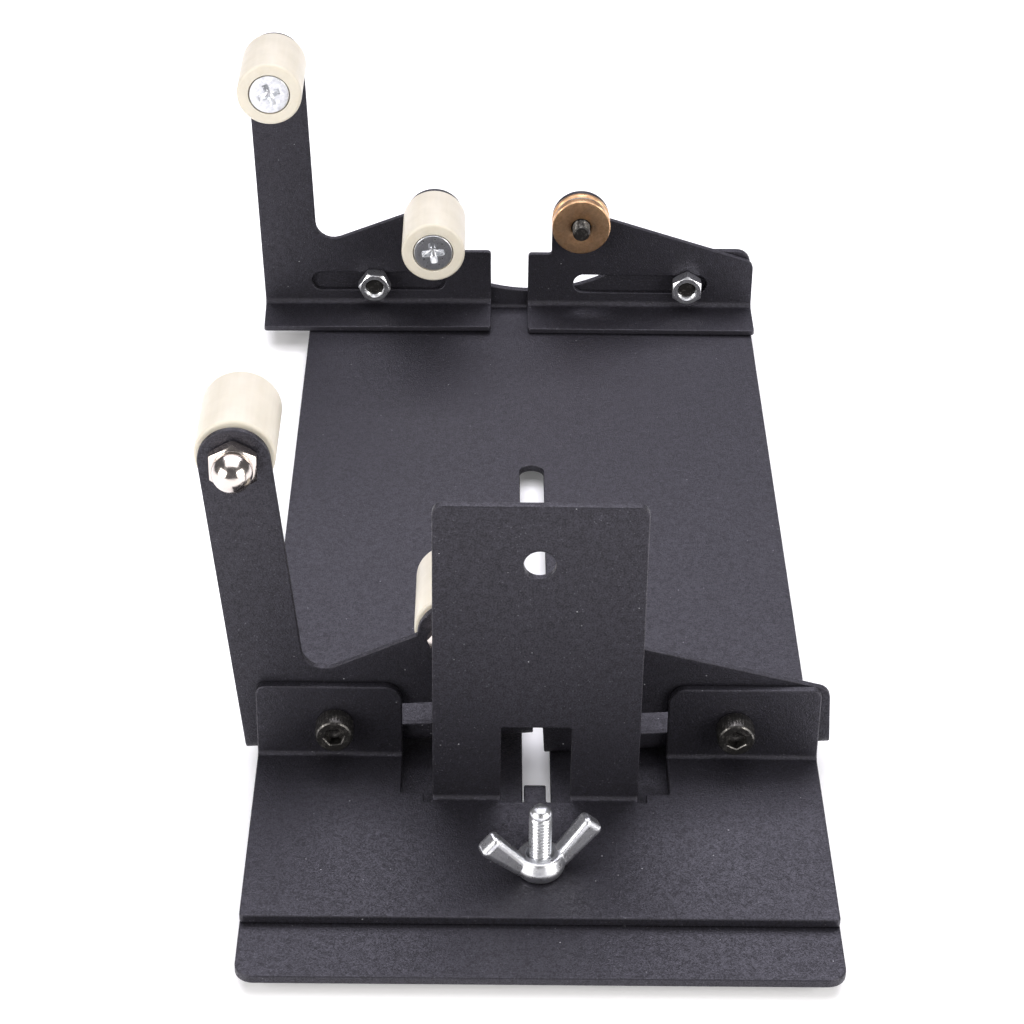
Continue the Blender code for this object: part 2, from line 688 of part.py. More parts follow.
def bracket_fastener(spot, row, joint, parts, cutters):
    """The socket screw through a tab and its bracket's slot, and the nut on the web."""
    screw = socket_screw(spot + "_bracket_screw", BRACKET_SCREW_LENGTH, parts, cutters)
    nut = hex_nut(spot + "_bracket_nut", parts)
    head_at = PLATE + 2 * GAP
    nut_at = BRACKET_SHEET + GAP
    if row == "rear":
        place(screw, joint, (0, head_at, 0), TO_FRONT)
        place(nut, joint, (0, -nut_at, 0), TO_FRONT)
    else:
        place(screw, joint, (0, -head_at, 0), TO_REAR)
        place(nut, joint, (0, nut_at, 0), TO_REAR)


def brackets(parts, cutters, stand, carriage):
    """Place the four brackets. A rear one stands before its tab, a front one behind its tab."""
    rear_y = REAR_WEB_FACE + BRACKET_SHEET
    front_y = CARRIAGE_TAB_FACE + PLATE + GAP
    rear_z = FOOT_HEIGHT + TAB_HOLE_HEIGHT
    front_z = BASE_TOP + GAP + TAB_HOLE_HEIGHT
    rows = [
        ("rear_left", "rear", -1, REAR_LEFT_SCREW_AT, REAR_LEFT_RISE, REAR_LEFT_TILT),
        ("rear_right", "rear", 1, REAR_RIGHT_SCREW_AT, REAR_RIGHT_RISE, 0.0),
        ("front_left", "front", -1, FRONT_LEFT_SCREW_AT, FRONT_LEFT_RISE, FRONT_LEFT_TILT),
        ("front_right", "front", 1, FRONT_RIGHT_SCREW_AT, FRONT_RIGHT_RISE, FRONT_RIGHT_TILT),
    ]
    for spot, row, side, screw_at, rise, tilt in rows:
        rear = row == "rear"
        parent = stand if rear else carriage
        shift = 0 if rear else PUNCH_OFFSET
        at = (side * TAB_HOLE_X + shift, rear_y if rear else front_y, rear_z if rear else front_z)
        joint = empty(spot + "_screw_axis", parent, at)
        bracket_with_rollers(spot, row, side, screw_at, rise, tilt, joint, parts, cutters)
        bracket_fastener(spot, row, joint, parts, cutters)


def clamp(parts, cutters, carriage):
    """The clamp bolt that rises through the base's slot, and the wing nut that locks it."""
    shank = M5_SHANK / 2
    head = CLAMP_HEAD / 2
    head_top = FOOT_HEIGHT - GAP
    profile = [(0, CLAMP_TIP), (shank - 0.9 * MM, CLAMP_TIP), (shank, CLAMP_TIP - 0.9 * MM)]
    profile += [(shank, head_top), (head, head_top), (head, head_top - 1.0 * MM)]
    profile += [(head - 1.6 * MM, head_top - CLAMP_HEAD_HEIGHT), (0, head_top - CLAMP_HEAD_HEIGHT)]
    bolt = turned("clamp_bolt", profile, "zinc", parts, sides=SMALL_SIDES)
    edge = CLAMP_NECK / 2
    square = [(-edge, -edge), (edge, -edge), (edge, edge), (-edge, edge)]
    neck = prism("clamp_bolt_neck", square, head_top - 0.5 * MM, PLATE + 0.5 * MM, cutters)
    boolean(bolt, neck, "UNION")
    place(bolt, carriage, (0, CLAMP_Y, 0))
    seat = BASE_TOP + PLATE + 2 * GAP
    axis = empty("wing_nut_axis", carriage, (0, CLAMP_Y, seat), (0, 0, WING_TURN))
    wing_nut(parts, cutters, axis)


def wing_nut(parts, cutters, axis):
    """A hub with two thick wings that rise outward from it."""
    low = WING_HUB_BOTTOM / 2
    top = WING_HUB_TOP / 2
    profile = [(0, WING_HUB_HEIGHT), (top, WING_HUB_HEIGHT), (low, 1.2 * MM), (low, 0), (0, 0)]
    nut = turned("wing_nut", profile, "zinc", parts, sides=SMALL_SIDES)
    reach = WING_SPAN / 2
    outline = rounded(
        [
            (2.8 * MM, 0.8 * MM, 0),
            (5.0 * MM, 0.8 * MM, 0),
            (reach, WING_HEIGHT - WING_WIDTH * 0.7, 1.2 * MM),
            (reach - WING_WIDTH * 0.7, WING_HEIGHT, 1.2 * MM),
            (3.2 * MM, WING_HUB_HEIGHT - 0.4 * MM, 0),
        ]
    )
    for side, name in ((1, "right"), (-1, "left")):
        loop = [(side * x, z) for x, z in outline]
        shape = sheet_mesh([loop], WING_THICKNESS)
        bmesh.ops.translate(shape, verts=shape.verts, vec=(0, 0, -WING_THICKNESS / 2))
        bmesh.ops.rotate(shape, verts=shape.verts, matrix=Matrix.Rotation(math.pi / 2, 3, "X"))
        wing = as_tool(add_part("wing_nut_" + name, shape, "zinc", cutters))
        boolean(nut, wing, "UNION")
    bore = prism("wing_nut_bore", circle(0, 0, NUT_BORE), -1 * MM, WING_HUB_HEIGHT + 2 * MM, cutters)
    boolean(nut, bore, "DIFFERENCE")
    place(nut, axis, (0, 0, 0))


def build():
    clear_scene()
    parts = new_collection("roller_stand")
    cutters = new_collection("cutters")
    stand = empty("stand_origin", None, (-STAND_MIDDLE_X, -STAND_MIDDLE_Y, 0))
    carriage = empty("carriage_slide", stand)
    base_plate(parts, stand)
    feet(parts, stand)
    carriage_plate(parts, carriage)
    clamp(parts, cutters, carriage)
    brackets(parts, cutters, stand, carriage)
    for part in parts.objects:
        if any(step.type == "SCREW" for step in part.modifiers):
            part.data.shade_smooth()


build()
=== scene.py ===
"""Adjustable roller stand in black powder coat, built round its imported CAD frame.

Every piece is remade here with rounded edges, threads and recesses. It lies where its CAD node
lies and rides on the same body. Lengths are in metres, +X is right, +Y is rear and +Z is up.
"""

import json
import math

import bmesh
import bpy
from mathutils import Matrix, Vector


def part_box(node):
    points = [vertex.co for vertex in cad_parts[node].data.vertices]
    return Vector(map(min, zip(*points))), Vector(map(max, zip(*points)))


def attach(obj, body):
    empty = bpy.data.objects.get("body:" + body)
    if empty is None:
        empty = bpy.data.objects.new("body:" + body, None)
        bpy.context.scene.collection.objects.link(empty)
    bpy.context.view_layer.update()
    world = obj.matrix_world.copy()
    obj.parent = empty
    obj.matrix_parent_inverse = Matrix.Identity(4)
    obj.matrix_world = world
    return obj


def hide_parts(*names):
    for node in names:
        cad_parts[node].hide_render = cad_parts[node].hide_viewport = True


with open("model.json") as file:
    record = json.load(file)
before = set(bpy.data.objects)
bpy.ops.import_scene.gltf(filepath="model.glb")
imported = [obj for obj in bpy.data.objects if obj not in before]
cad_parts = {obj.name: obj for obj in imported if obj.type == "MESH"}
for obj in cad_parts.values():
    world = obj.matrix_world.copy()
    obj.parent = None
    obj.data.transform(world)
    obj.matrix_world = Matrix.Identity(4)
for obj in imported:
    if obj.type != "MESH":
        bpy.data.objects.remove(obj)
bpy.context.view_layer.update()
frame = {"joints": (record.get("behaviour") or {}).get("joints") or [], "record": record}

MM = 0.001
GAP = 0.2 * MM
WELD = 0.000004

# Sheets.
PLATE = 2.0 * MM
BRACKET_SHEET = 1.5 * MM
PLATE_BEND_INSIDE = 1.0 * MM
BRACKET_BEND_INSIDE = 1.5 * MM
PLATE_EDGE = 0.34 * MM
BRACKET_EDGE = 0.28 * MM
BEND_STEPS = 8
CORNER_STEPS = 7
EDGE_STEPS = 2
SLOT_STEPS = 20
HEAD_STEPS = 36

# Base plate, in the base's own frame: x from its centreline, y from its front edge.
FOOT_HEIGHT = 3.2 * MM
BASE_WIDTH = 125.0 * MM
BASE_LENGTH = 288.0 * MM
BASE_CORNER = 4.0 * MM
BASE_TOP = FOOT_HEIGHT + PLATE
SLOT_X = -0.3 * MM
SLOT_WIDTH = 6.2 * MM
SLOT_FRONT = 20.0 * MM
SLOT_REAR = 199.0 * MM
TAB_TOP = 20.4 * MM
TAB_INNER_X = 29.5 * MM
TAB_HOLE_X = 44.4 * MM
TAB_HOLE_HEIGHT = 10.5 * MM
TAB_OUTER_CORNER = 2.0 * MM
REAR_TAB_CORNER = 4.0 * MM
TAB_INNER_CORNER = 4.0 * MM
FLANGE_LOW_TOP = 7.2 * MM
FLANGE_ARC_RADIUS = 46.0 * MM
M5_HOLE = 5.4 * MM
M6_HOLE = 6.4 * MM

# Carriage.
PUNCH_OFFSET = -0.7 * MM
CARRIAGE_FRONT = 16.1 * MM
CARRIAGE_TAB_FACE = 71.35 * MM
CARRIAGE_CORNER = 1.0 * MM
CUTOUT_FRONT = 57.8 * MM
RELIEF_FRONT = 54.8 * MM
RELIEF_OUTER_X = 24.4 * MM
STOP_WIDTH = 45.0 * MM
STOP_FACE = 56.0 * MM
STOP_TOP = 77.6 * MM
STOP_CORNER = 2.2 * MM
STOP_HOLE_HEIGHT = 63.1 * MM
STOP_HOLE = 6.8 * MM
NOTCH_WIDTH = 15.3 * MM
NOTCH_TOP = 21.1 * MM
KEY_WIDTH = 4.8 * MM
KEY_FACE = 62.6 * MM
KEY_DROP = 1.8 * MM
CLAMP_Y = 31.2 * MM

# Brackets. Outlines are in x, along the bracket, and z, up from its underside.
BRACKET_WIDTH = 64.0 * MM
BRACKET_DEPTH = 16.0 * MM
BRACKET_SLOT_LENGTH = 38.0 * MM
BRACKET_SLOT_WIDTH = 5.6 * MM
BRACKET_SLOT_HEIGHT = 8.3 * MM
SHOULDER_TOP = 17.6 * MM
HEAD_RADIUS = 8.0 * MM
TALL_HEAD_RADIUS = 7.8 * MM
TALL_HEAD_HEIGHT = 75.9 * MM
ARM_LEAN = math.radians(2.0)
ARM_ROOT = (14.8 * MM, 19.6 * MM, 5.0 * MM)
LOW_HEAD_X = 48.2 * MM
LOW_HEAD_HEIGHT = 28.8 * MM
CUTTER_HEAD_X = 14.6 * MM
CUTTER_HEAD_HEIGHT = 29.0 * MM
SLOPE_END = 15.6 * MM

# Distance from each bracket's left end to its screw, and its rise on the screw.
SCREW_AT = {
    "rear_left": (30.9 * MM, 0.2 * MM),
    "rear_right": (45.2 * MM, 0.0),
    "front_left": (20.4 * MM, 0.0),
    "front_right": (42.7 * MM, 0.25 * MM),
}

# Rollers, scoring wheel and fasteners. CSK is a countersunk screw.
ROLLER_RADIUS = 8.7 * MM
ROLLER_LENGTH = 21.5 * MM
ROLLER_BORE = 6.4 * MM
ROLLER_PLAY = 0.3 * MM
ROLLER_GAP = 0.9 * MM
CSK_HEAD = 10.6 * MM
CSK_RIM = 0.5 * MM
CSK_LENGTH = 29.0 * MM
CUTTER_RADIUS = 8.15 * MM
CUTTER_REACH = 11.5 * MM
BRACKET_SCREW_LENGTH = 6.9 * MM
CUTTER_BORE = 5.6 * MM
M5_PITCH = 0.8 * MM
M6_PITCH = 1.0 * MM
SOCKET_HEAD_RADIUS = 4.25 * MM
SOCKET_HEAD_HEIGHT = 5.0 * MM
SOCKET_ACROSS = 4.0 * MM
KNURLS = 36
NUT_ACROSS = 8.0 * MM
NUT_HEIGHT = 4.0 * MM
CAP_NUT_ACROSS = 10.0 * MM
CAP_NUT_HEX = 3.0 * MM
CAP_NUT_BALL = 4.4 * MM
CAP_NUT_BALL_MIDDLE = 4.0 * MM
CHAMFER_SLOPE = math.tan(math.radians(30))

# Clamp bolt and wing nut. The nut's turn is in degrees.
CLAMP_TIP = 24.8 * MM
CLAMP_POINT = 1.9 * MM
WING_TURN = 19.5
WING_THICKNESS = 4.2 * MM
WING_EDGE = 1.25 * MM
WING_HUB_HEIGHT = 5.0 * MM
WING_VOXEL = 0.14 * MM

# The floor that is seen, the floor that only lights the object, and the white round them.
FLOOR_RADIUS = 1.0
FAR_FLOOR_REACH = 4.0
SURROUND_RADIUS = 6.0


# Outlines.


def arc(x, y, radius, start, end, steps):
    """Points along an arc, both ends included. Angles are in degrees."""
    points = []
    for i in range(steps + 1):
        angle = math.radians(start + (end - start) * i / steps)
        points.append((x + radius * math.cos(angle), y + radius * math.sin(angle)))
    return points


def circle(x, y, diameter, steps=44):
    return arc(x, y, diameter / 2, 0, 360 - 360 / steps, steps - 1)


def slot(x, y, length, width, sideways=True):
    """A round-ended slot centred on x, y."""
    reach = (length - width) / 2
    along, start = ((reach, 0), -90) if sideways else ((0, reach), 0)
    end = arc(x + along[0], y + along[1], width / 2, start, start + 180, SLOT_STEPS)
    other = arc(x - along[0], y - along[1], width / 2, start + 180, start + 360, SLOT_STEPS)
    return end + other


def rounded(corners, closed=True, steps=CORNER_STEPS):
    """A path from (x, y, radius) corners: each corner becomes an arc tangent to both sides."""
    path = []
    for i, (x, y, radius) in enumerate(corners):
        if radius == 0 or (not closed and i in (0, len(corners) - 1)):
            path.append((x, y))
            continue
        here = Vector((x, y))
        before = (Vector(corners[i - 1][:2]) - here).normalized()
        after = (Vector(corners[(i + 1) % len(corners)][:2]) - here).normalized()
        half = before.angle(after) / 2
        centre = here + (before + after).normalized() * (radius / math.sin(half))
        first = here + before * (radius / math.tan(half)) - centre
        last = here + after * (radius / math.tan(half)) - centre
        turn = first.angle_signed(last)
        for k in range(steps + 1):
            spoke = first.copy()
            spoke.rotate(Matrix.Rotation(-turn * k / steps, 2))
            path.append(tuple(centre + spoke))
    return path


# Meshes.


def sheet_mesh(loops, thickness, edge):
    """A flat sheet from z = 0 to its thickness, with rounded edges. Loop 0 is its outline."""
    curve = bpy.data.curves.new("outline", "CURVE")
    curve.dimensions = "2D"
    curve.fill_mode = "BOTH"
    curve.extrude = thickness / 2 - edge
    curve.bevel_depth = edge
    curve.bevel_resolution = EDGE_STEPS
    curve.offset = -edge
    for loop in loops:
        spline = curve.splines.new("POLY")
        spline.points.add(len(loop) - 1)
        for point, (x, y) in zip(spline.points, loop):
            point.co = (x, y, 0, 1)
        spline.use_cyclic_u = True
    guide = bpy.data.objects.new("outline", curve)
    bpy.context.scene.collection.objects.link(guide)
    graph = bpy.context.evaluated_depsgraph_get()
    mesh = bpy.data.meshes.new_from_object(guide.evaluated_get(graph))
    bpy.data.objects.remove(guide)
    sheet = bmesh.new()
    sheet.from_mesh(mesh)
    bpy.data.meshes.remove(mesh)
    bmesh.ops.remove_doubles(sheet, verts=sheet.verts, dist=WELD)
    bmesh.ops.translate(sheet, verts=sheet.verts, vec=(0, 0, thickness / 2))
    bmesh.ops.recalc_face_normals(sheet, faces=sheet.faces)
    return sheet


def folded_reach(height, inside):
    """How far along the flat sheet an edge lies that ends this far above the bend's outside."""
    return math.pi / 2 * inside + height


def fold(sheet, start, inside, thickness, keep, up=True):
    """Bend the points beyond y = start by a right angle, where keep(point) is true."""
    outside = inside + thickness
    arc_length = math.pi / 2 * inside
    for i in range(BEND_STEPS + 1):
        at = start + arc_length * i / BEND_STEPS
        faces = [f for f in sheet.faces if any(keep(v.co) for v in f.verts)]
        around = {e for f in faces for e in f.edges} | {v for f in faces for v in f.verts}
        bmesh.ops.bisect_plane(
            sheet, geom=faces + list(around), dist=1e-8, plane_co=(0, at, 0), plane_no=(0, 1, 0)
        )
    for vertex in sheet.verts:
        along = vertex.co.y - start
        if along <= 0 or not keep(vertex.co):
            continue
        depth = vertex.co.z if up else thickness - vertex.co.z
        angle = min(along / inside, math.pi / 2)
        beyond = max(along - arc_length, 0)
        height = outside - (outside - depth) * math.cos(angle) + beyond
        vertex.co.y = start + (outside - depth) * math.sin(angle)
        vertex.co.z = height if up else thickness - height


def value(number, angle):
    return number(angle) if callable(number) else number


def revolved(rings, steps, closed=False):
    """A mesh from (radius, z) rings about Z. Either may be a function of the angle."""
    shape = bmesh.new()
    made = []
    for radius, z in rings:
        if radius == 0:
            made.append([shape.verts.new((0, 0, value(z, 0)))])
            continue
        ring = []
        for i in range(steps):
            angle = 2 * math.pi * i / steps
            r = value(radius, angle)
            point = (r * math.cos(angle), r * math.sin(angle), value(z, angle))
            ring.append(shape.verts.new(point))
        made.append(ring)
    pairs = list(zip(made, made[1:]))
    if closed:
        pairs.append((made[-1], made[0]))
    for one, two in pairs:
        for i in range(steps):
            corners = [one[i % len(one)], one[(i + 1) % len(one)]]
            corners += [two[(i + 1) % len(two)], two[i % len(two)]]
            shape.faces.new(dict.fromkeys(corners))
    bmesh.ops.recalc_face_normals(shape, faces=shape.faces)
    return shape


def hexagon(across):
    """Radius of a hexagon at an angle, with flats that face 0, 60, 120 degrees and so on."""

    def radius(angle):
        return across / 2 / math.cos((angle + math.pi / 6) % (math.pi / 3) - math.pi / 6)

    return radius


def thread(crest, root, pitch, z, limit=None):
    """Radius of a thread at height z, as a function of the angle, held inside limit."""

    def radius(angle):
        phase = (z / pitch - angle / (2 * math.pi)) % 1
        share = min(max((abs(phase - 0.5) * 2 - 0.15) / 0.62, 0), 1)
        made = root + (crest - root) * share
        return made if limit is None else min(made, limit)

    return radius


def thread_rings(crest, root, pitch, low, high, tip=0.0):
    """Rings of an outside thread from low to high. Its last stretch of length tip is a chamfer."""
    count = max(int(round((high - low) / pitch * 7)), 2)
    rings = []
    for i in range(count + 1):
        z = low + (high - low) * i / count
        left = tip - (high - z)
        limit = crest - left * 0.8 if left > 1e-9 else None
        fade = min((z - low) / pitch, 1)
        rings.append((thread(crest, root + (crest - root) * (1 - fade), pitch, z, limit), z))
    return rings


# Materials.


class Nodes:
    """A short way to build one material's node tree."""

    def __init__(self, name):
        self.material = bpy.data.materials.new(name)
        self.material.use_nodes = True
        self.tree = self.material.node_tree
        self.shader = self.tree.nodes["Principled BSDF"]
        coordinates = self.tree.nodes.new("ShaderNodeTexCoord")
        self.here = coordinates.outputs["Object"]

    def node(self, kind, inputs=None, **settings):
        node = self.tree.nodes.new(kind)
        for key, setting in settings.items():
            setattr(node, key, setting)
        for key, given in (inputs or {}).items():
            if isinstance(given, bpy.types.NodeSocket):
                self.tree.links.new(given, node.inputs[key])
            else:
                node.inputs[key].default_value = given
        return node

    def noise(self, scale, detail=2.0, roughness=0.5, vector=None):
        inputs = {"Vector": vector or self.here, "Scale": scale}
        inputs |= {"Detail": detail, "Roughness": roughness}
        return self.node("ShaderNodeTexNoise", inputs).outputs["Fac"]

    def stretched(self, scale):
        """Object coordinates scaled along each axis."""
        node = self.node("ShaderNodeMapping", {"Vector": self.here, "Scale": scale})
        return node.outputs["Vector"]

    def specks(self, scale, size):
        """1 inside small round specks, 0 outside."""
        cells = self.node("ShaderNodeTexVoronoi", {"Vector": self.here, "Scale": scale})
        return self.span(cells.outputs["Distance"], size, size * 0.6, 0.0, 1.0)

    def span(self, given, low, high, start, end):
        """Map low..high to start..end, clamped."""
        inputs = {"Value": given, "From Min": low, "From Max": high}
        inputs |= {"To Min": start, "To Max": end}
        return self.node("ShaderNodeMapRange", inputs).outputs["Result"]

    def math(self, operation, one, two):
        return self.node("ShaderNodeMath", {0: one, 1: two}, operation=operation).outputs[0]

    def mix(self, share, one, two):
        node = self.node("ShaderNodeMix", {"Factor": share}, data_type="RGBA")
        for socket, given in ((node.inputs[6], one), (node.inputs[7], two)):
            if isinstance(given, bpy.types.NodeSocket):
                self.tree.links.new(given, socket)
            else:
                socket.default_value = (*given, 1.0)
        return node.outputs[2]

    def bump(self, height, distance, strength=1.0, under=None):
        inputs = {"Height": height, "Distance": distance, "Strength": strength}
        if under:
            inputs["Normal"] = under
        return self.node("ShaderNodeBump", inputs).outputs["Normal"]

    def finish(self, **sockets):
        for key, given in sockets.items():
            name = key.replace("_", " ").title().replace("Ior", "IOR")
            socket = self.shader.inputs[name]
            if isinstance(given, bpy.types.NodeSocket):
                self.tree.links.new(given, socket)
            elif isinstance(given, tuple) and socket.type == "RGBA":
                socket.default_value = (*given, 1.0)
            else:
                socket.default_value = given
        return self.material


def powder_coat():
    """Black, fine-grained powder coat: a pebbled skin with scattered paler grains."""
    n = Nodes("powder_coat")
    grain = n.noise(2700, 2.0, 0.6)
    patch = n.noise(800, 2.0, 0.5)
    paler = n.span(n.math("ADD", grain, n.math("MULTIPLY", patch, 0.4)), 0.55, 0.88, 0, 1)
    sparkle = n.math("MULTIPLY", n.specks(1150, 0.19), n.span(n.noise(400), 0.4, 0.65, 0, 0.7))
    dust = n.math("MULTIPLY", n.specks(300, 0.055), n.span(n.noise(90), 0.45, 0.6, 0, 1))
    colour = n.mix(paler, (0.0004, 0.0003, 0.0006), (0.0150, 0.0142, 0.0190))
    colour = n.mix(sparkle, colour, (0.075, 0.074, 0.084))
    colour = n.mix(n.math("MULTIPLY", dust, 0.6), colour, (0.45, 0.45, 0.48))
    normal = n.bump(n.noise(620), 0.00003, 0.5)
    normal = n.bump(grain, 0.00012, 1.0, normal)
    return n.finish(
        base_color=colour,
        roughness=n.span(paler, 0.0, 1.0, 0.64, 0.30),
        normal=normal,
        specular_ior_level=0.5,
        specular_tint=(0.90, 0.875, 1.0),
    )


def nylon():
    """Ivory turned nylon: slightly waxy, with faint lengthwise tone and fine turning marks."""
    n = Nodes("ivory_nylon")
    cloud = n.noise(160, 3.0, 0.5)
    streak = n.noise(1.0, 2.0, 0.5, n.stretched((900, 900, 60)))
    turning = n.noise(1.0, 2.0, 0.6, n.stretched((40, 40, 5200)))
    colour = n.mix(n.span(cloud, 0.3, 0.7, 0, 1), (0.495, 0.460, 0.378), (0.552, 0.514, 0.432))
    colour = n.mix(n.span(streak, 0.35, 0.7, 0, 0.35), colour, (0.580, 0.542, 0.462))
    rough = n.span(turning, 0.3, 0.7, 0.36, 0.50)
    normal = n.bump(turning, 0.000012, 0.6)
    return n.finish(
        base_color=colour,
        roughness=rough,
        normal=normal,
        subsurface_weight=0.12,
        subsurface_radius=(0.0035, 0.0026, 0.0016),
        subsurface_scale=1.0,
        specular_ior_level=0.45,
    )


def zinc():
    """Bright zinc plate: mottled, faintly blue, with a fine pickled skin."""
    n = Nodes("zinc_plate")
    mottle = n.noise(900, 4.0, 0.65)
    fine = n.noise(3200, 2.0, 0.6)
    colour = n.mix(n.span(mottle, 0.35, 0.65, 0, 1), (0.62, 0.63, 0.66), (0.86, 0.87, 0.88))
    rough = n.span(mottle, 0.3, 0.7, 0.40, 0.24)
    normal = n.bump(fine, 0.00003, 0.35)
    return n.finish(base_color=colour, roughness=rough, normal=normal, metallic=1.0)


def nickel():
    """Polished nickel plate with a warm cast and faint wipe marks."""
    n = Nodes("nickel_plate")
    wipe = n.noise(1.0, 2.0, 0.5, n.stretched((700, 700, 2600)))
    colour = n.mix(n.noise(400), (0.58, 0.525, 0.485), (0.67, 0.61, 0.565))
    rough = n.span(wipe, 0.3, 0.7, 0.13, 0.22)
    return n.finish(base_color=colour, roughness=rough, metallic=1.0)


def black_oxide():
    """Oiled black oxide on steel, worn to grey in spots."""
    n = Nodes("black_oxide")
    worn = n.noise(1100, 4.0, 0.7)
    colour = n.mix(n.span(worn, 0.52, 0.72, 0, 1), (0.045, 0.043, 0.041), (0.22, 0.21, 0.195))
    rough = n.span(worn, 0.3, 0.7, 0.42, 0.26)
    normal = n.bump(n.noise(2600, 2.0), 0.00003, 0.4)
    return n.finish(base_color=colour, roughness=rough, normal=normal, metallic=0.85)


def brass():
    """Turned brass, dulled brown in patches, with the tool's fine rings on its faces."""
    n = Nodes("turned_brass")
    rings = n.node(
        "ShaderNodeTexWave",
        {"Vector": n.here, "Scale": 1250.0, "Distortion": 1.2, "Detail": 2.0, "Detail Scale": 1.5},
        wave_type="RINGS",
        rings_direction="Z",
    ).outputs["Fac"]
    tarnish = n.noise(420, 4.0, 0.62)
    colour = n.mix(n.span(tarnish, 0.36, 0.66, 0, 1), (0.50, 0.28, 0.15), (0.92, 0.60, 0.34))
    rough = n.span(tarnish, 0.3, 0.7, 0.44, 0.27)
    normal = n.bump(rings, 0.00001, 0.5)
    return n.finish(base_color=colour, roughness=rough, normal=normal, metallic=1.0)


def hard_steel():
    """Ground dark steel with fine rings."""
    n = Nodes("hard_steel")
    rough = n.span(n.noise(1.0, 2.0, 0.5, n.stretched((300, 300, 5000))), 0.3, 0.7, 0.2, 0.4)
    colour = n.mix(n.noise(800, 3.0), (0.16, 0.155, 0.15), (0.34, 0.33, 0.32))
    return n.finish(base_color=colour, roughness=rough, metallic=1.0)


def rubber():
    """Black rubber, dull and faintly mottled."""
    n = Nodes("rubber")
    fine = n.noise(2400, 3.0, 0.6)
    colour = n.mix(fine, (0.012, 0.012, 0.013), (0.03, 0.03, 0.031))
    rough = n.span(fine, 0.3, 0.7, 0.7, 0.9)
    normal = n.bump(fine, 0.00005, 0.5)
    return n.finish(base_color=colour, roughness=rough, normal=normal)


def pale_floor():
    """A white sweep that glows a little, as the photograph's burnt-out floor does."""
    n = Nodes("pale_floor")
    cloud = n.noise(6.0, 2.0)
    colour = n.mix(cloud, (0.90, 0.90, 0.905), (0.93, 0.93, 0.935))
    glow = {"emission_color": (1.0, 1.0, 1.0), "emission_strength": 0.12}
    return n.finish(base_color=colour, roughness=0.7, specular_ior_level=0.2, **glow)


def white_surround():
    """Even white, seen past the floor's edge."""
    n = Nodes("white_surround")
    colour = n.mix(n.noise(2.0), (0.9, 0.9, 0.9), (0.92, 0.92, 0.92))
    return n.finish(base_color=colour, emission_color=(1.0, 1.0, 1.0), emission_strength=1.0)


FINISHES = {
    "powder_coat": powder_coat(),
    "nylon": nylon(),
    "zinc": zinc(),
    "nickel": nickel(),
    "black_oxide": black_oxide(),
    "brass": brass(),
    "hard_steel": hard_steel(),
    "rubber": rubber(),
}


# Pieces.


def body_of(node):
    for body, nodes in frame["record"]["behaviour"]["bodies"].items():
        if node in nodes:
            return body


TO_REAR = Matrix.Rotation(-math.pi / 2, 4, "X")
TO_FRONT = Matrix.Rotation(math.pi / 2, 4, "X")


def laid_down(place):
    """place as two matrices: a move with at most a quarter turn, and the rest of the turn."""
    turn = place.to_quaternion().to_matrix().to_4x4()
    along = turn.col[2].y
    quarter = TO_REAR if along > 0.9 else TO_FRONT if along < -0.9 else Matrix()
    return Matrix.Translation(place.translation) @ quarter, quarter.inverted() @ turn


def piece(node, shape, finish, place, sharp=38, weighted=False):
    """One finished piece that stands for a CAD node and rides on its body."""
    mesh = bpy.data.meshes.new(node + "_mesh")
    shape.to_mesh(mesh)
    shape.free()
    laid, rest = laid_down(place)
    mesh.transform(rest)
    made = bpy.data.objects.new(node + "_finished", mesh)
    bpy.context.scene.collection.objects.link(made)
    mesh.materials.append(FINISHES[finish])
    mesh.shade_smooth()
    mesh.set_sharp_from_angle(angle=math.radians(sharp))
    if weighted:
        step = made.modifiers.new("Weighted", "WEIGHTED_NORMAL")
        step.keep_sharp = True
    made.matrix_world = laid
    bpy.context.view_layer.update()
    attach(made, body_of(node))
    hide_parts(node)
    return made


base_low, base_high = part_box("base_plate")
STAND = Matrix.Translation(((base_low.x + base_high.x) / 2, base_low.y, 0))


def base_plate():
    """The slotted plate, with its rear flange bent up from it."""
    bend = BASE_LENGTH - PLATE - PLATE_BEND_INSIDE
    outside = PLATE + PLATE_BEND_INSIDE
    top = bend + folded_reach(TAB_TOP - outside, PLATE_BEND_INSIDE)
    drop = TAB_TOP - FLANGE_LOW_TOP
    low = top - drop
    arc_half = math.degrees(math.acos(1 - drop / FLANGE_ARC_RADIUS))
    saddle = arc(0, low + FLANGE_ARC_RADIUS, FLANGE_ARC_RADIUS, 270 + arc_half, 270 - arc_half, 40)
    half = BASE_WIDTH / 2
    corners = [(0, 0, 0), (half, 0, BASE_CORNER), (half, top, REAR_TAB_CORNER), (0, top, 0)]
    side = rounded(corners)[1:-1]
    other = [(-x, y) for x, y in reversed(side)]
    hole_at = bend + folded_reach(TAB_HOLE_HEIGHT - outside, PLATE_BEND_INSIDE)
    loops = [
        side + saddle + other,
        slot(SLOT_X, (SLOT_FRONT + SLOT_REAR) / 2, SLOT_REAR - SLOT_FRONT, SLOT_WIDTH, False),
        circle(-TAB_HOLE_X, hole_at, M5_HOLE),
        circle(TAB_HOLE_X, hole_at, M5_HOLE),
    ]
    sheet = sheet_mesh(loops, PLATE, PLATE_EDGE)
    fold(sheet, bend, PLATE_BEND_INSIDE, PLATE, lambda point: True)
    place = STAND @ Matrix.Translation((0, 0, FOOT_HEIGHT))
    piece("base_plate", sheet, "powder_coat", place, weighted=True)


